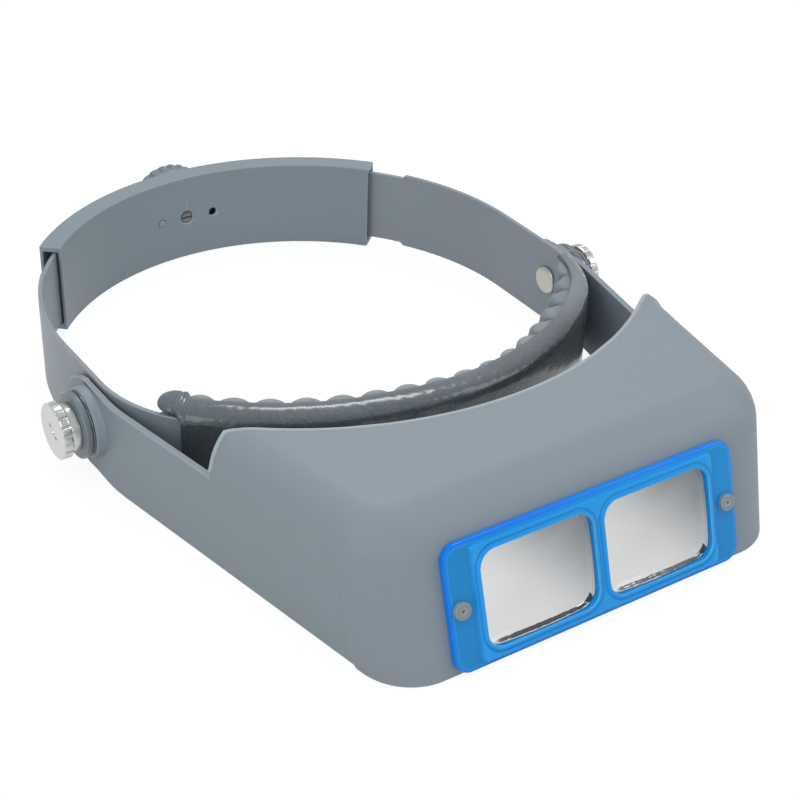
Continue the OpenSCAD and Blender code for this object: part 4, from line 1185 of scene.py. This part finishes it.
def make_pivot(side, sx):
    """Bolt with a low domed head, spring washer, plastic washer and fluted nut, turned about the
    pivot's axis and mirrored for the left."""
    nut, washers = side + "_nut", side + "_washers"

    def made(name, profile, body, paint, stands_for, steps=96, reach=None, angle=32):
        profile = [(r, a * sx, *rest) for r, a, *rest in profile]
        mesh = turned(profile, AT_PIVOT, "x", steps, reach).mesh(name)
        piece(name, mesh, body, paint, [stands_for], angle)

    head = [(0.0, 87.28), (2.5, 87.3), (4.2, 87.42), (4.85, 87.62), (5.12, 87.95), (5.15, 88.3),
            (5.05, 88.62), (3.0, 88.62), (3.0, 103.3), (0.0, 103.3)]
    made(side + "_bolt", head, "head_band", BOLT_STEEL, side + "_pivot_bolt")
    rings = [
        ("_gap_washer", (9.0, 90.31, 90.8, 0.12), "head_band", "grey_nylon", GREY_WASHER, "_inner_washer"),
        ("_spring_ring", (11.05, 96.4, 96.95, 0.2), washers, "nickel", NICKEL_SHADED, "_spring_washer"),
        ("_nylon_ring", (11.1, 97.0, 99.4, 0.65), washers, "grey_nylon", GREY_WASHER, "_plastic_washer")]
    for name, sizes, body, slot, paint, stands_for in rings:
        made(side + name, disc(3.1, *sizes), body, paint, side + stands_for)

    # The nut, between x0 and x1: a smooth collar, the fluted head and its face
    x0, x1 = 99.45, 106.05
    collar = [(0.0, x1 - 1.1), (BOLT_R, x1 - 1.1), (BOLT_R, x0), (7.55, x0), (7.8, x0 + 0.2),
              (7.8, x0 + 1.0), (7.75, x0 + 2.4), (7.5, x0 + 2.9), (7.45, x0 + 3.25), (7.9, x0 + 3.3),
              (8.7, x0 + 3.32)]
    q = np.radians([15, 40, 65, 90])
    fluted = list(zip(8.7 + 0.6 * np.sin(q), x0 + 3.75 - 0.4 * np.cos(q)))
    fluted += [(9.3, x0 + 4.3), (9.3, x0 + 5.0), (9.3, x0 + 5.6)]
    fluted += zip(9.3 - 0.65 * (1 - np.cos(q)), x1 - 0.5 + 0.5 * np.sin(q))
    face = [(8.45, x1), (8.0, x1 - 0.01), (3.0, x1 - 0.02), (1.1, x1 - 0.02), (0.95, x1 - 0.15),
            (0.6, x1 - 0.8), (0.0, x1 - 0.9)]
    whole = [(r, a, part is not fluted) for part in (collar, fluted, face) for r, a in part]
    made(nut, whole, nut, NICKEL, side + "_thumb_nut", 400, groove_reach(9.3, 9.4, 0.5, 20), 24)
    # Dots for the dimples on the nut's face, in the darker nickel as painted shade
    for k in (-1, 1):
        dot = [(0.0, x1 + 0.05), (0.45, x1 + 0.04), (0.75, x1 - 0.02), (0.8, x1 - 0.3), (0.0, x1 - 0.3)]
        centre = (0, PIVOT_Y + k * 1.9, PIVOT_Z + k * 1.4)
        mesh = turned([(r, a * sx) for r, a in dot], centre, "x", 24).mesh("mark")
        piece(f"{nut}_mark_{k + 2}", mesh, nut, NICKEL_SHADED)


for side, sx in SIDES:
    make_pivot(side, sx)

# Hidden parts keep their solids and get their own finish
for node, paint in (("knob_bush", PALE_NYLON), ("knob_brake_ring", DARK_RUBBER),
                    ("size_pinion", GREY_WASHER)):
    mesh = frame["nodes"][node].data
    mesh.materials.clear()
    mesh.materials.append(paint)


# Floor, lamps and camera


def seen_share(nodes, camera_ray, mirror_ray, glass_ray):
    """These shares for rays from the camera, from a mirror and through glass, and 0 for the rest."""
    seen, glossy, through = (nodes.node("ShaderNodeLightPath", f"Is {kind} Ray")
                             for kind in ("Camera", "Glossy", "Transmission"))
    mirror = (glossy - through).most(0.0) * mirror_ray
    return mirror.most(seen * camera_ray) + through * glass_ray


def backdrop():
    """A pale floor that shows as white and keeps a soft shadow."""
    r = np.array([0.0, 300, 900, 4000])[:, None]
    a = np.linspace(0, 2 * math.pi, 64, endpoint=False)
    form = Form().grid(np.stack([r * np.cos(a), r * np.sin(a), 0 * r * a - 0.4], -1), wrap_cols=True)
    obj = placed("floor", form.mesh("floor", closed=False))
    material = bpy.data.materials.new("floor_white")
    material.use_nodes = True
    nodes = Nodes(material.node_tree)
    nodes.tree.nodes.clear()
    lit = nodes.node("ShaderNodeBsdfDiffuse", 0, None, {"Color": (0.78, 0.78, 0.78, 1)})
    glow = nodes.node("ShaderNodeEmission", 0, None, {"Color": (1, 1, 1, 1), "Strength": 1.12})
    mix = nodes.node("ShaderNodeMixShader", 0, None, {0: seen_share(nodes, 0.8, 0.6, 0.5), 1: lit, 2: glow})
    nodes.feed(nodes.tree.nodes.new("ShaderNodeOutputMaterial").inputs[0], mix)
    obj.data.materials.append(material)


def lamp(name, place, power, size, mirrored=True):
    """A rectangular lamp aimed at the object, which mirrors may or may not show."""
    light = bpy.data.lights.new(name, "AREA")
    light.shape = "RECTANGLE"
    light.size, light.size_y = size
    light.energy = power
    obj = placed(name, light)
    obj.location = place
    obj.rotation_euler = (Vector((0, 0, 0.02)) - Vector(place)).to_track_quat("-Z", "Y").to_euler()
    obj.visible_glossy = mirrored


def world_light(level):
    """Soft even light for surfaces; white for what the camera, mirrors and glass see."""
    world = bpy.data.worlds.new("studio")
    bpy.context.scene.world = world
    world.use_nodes = True
    nodes = Nodes(world.node_tree)
    ground = nodes.tree.nodes["Background"]
    ground.inputs["Color"].default_value = (1, 1, 1, 1)
    share = seen_share(nodes, 1.0 - level, 0.65 - level, 0.6 - level) + level
    nodes.feed(ground.inputs["Strength"], share)


def camera():
    """The photograph's view: lens 77.2 on a 36 wide frame, 32.7 degrees down, 34.6 to the left."""
    az, el, roll = (math.radians(v) for v in (-34.6151, 32.7366, 1.98085))
    back = np.array([math.sin(az) * math.cos(el), -math.cos(az) * math.cos(el), math.sin(el)])
    level = np.array([math.cos(az), math.sin(az), 0])
    upright = np.cross(back, level)
    right = level * math.cos(roll) + upright * math.sin(roll)
    up = -level * math.sin(roll) + upright * math.cos(roll)
    data = bpy.data.cameras.new("camera")
    data.lens, data.sensor_width, data.sensor_fit = 77.227, 36.0, "HORIZONTAL"
    data.clip_start, data.clip_end = 0.01, 20
    obj = placed("camera", data)
    turn = Matrix(np.stack([right, up, back], 1).tolist()).to_4x4()
    turn.translation = (-0.26917, -0.45269 + SHIFT / 1000, 0.31963)
    obj.matrix_world = turn
    bpy.context.scene.camera = obj


backdrop()
world_light(0.42)
lamp("softbox_top", (-0.15, -0.25, 1.1), 3.0, (0.7, 0.7), False)
lamp("strip_top", (0.42, 0.5, 0.97), 2.5, (0.42, 0.16))
lamp("softbox_left", (-0.95, -0.35, 0.55), 2.3, (0.5, 0.7))
lamp("fill_front", (-0.3, -1.2, 0.5), 1.3, (0.6, 0.4))
lamp("softbox_right", (0.8, -0.55, 0.7), 1.8, (0.4, 0.7))
lamp("strip_rear", (0.1, 1.0, 0.8), 1.6, (1.0, 0.2), False)
camera()
bpy.context.scene.view_settings.view_transform = "Standard"

bpy.context.view_layer.update()
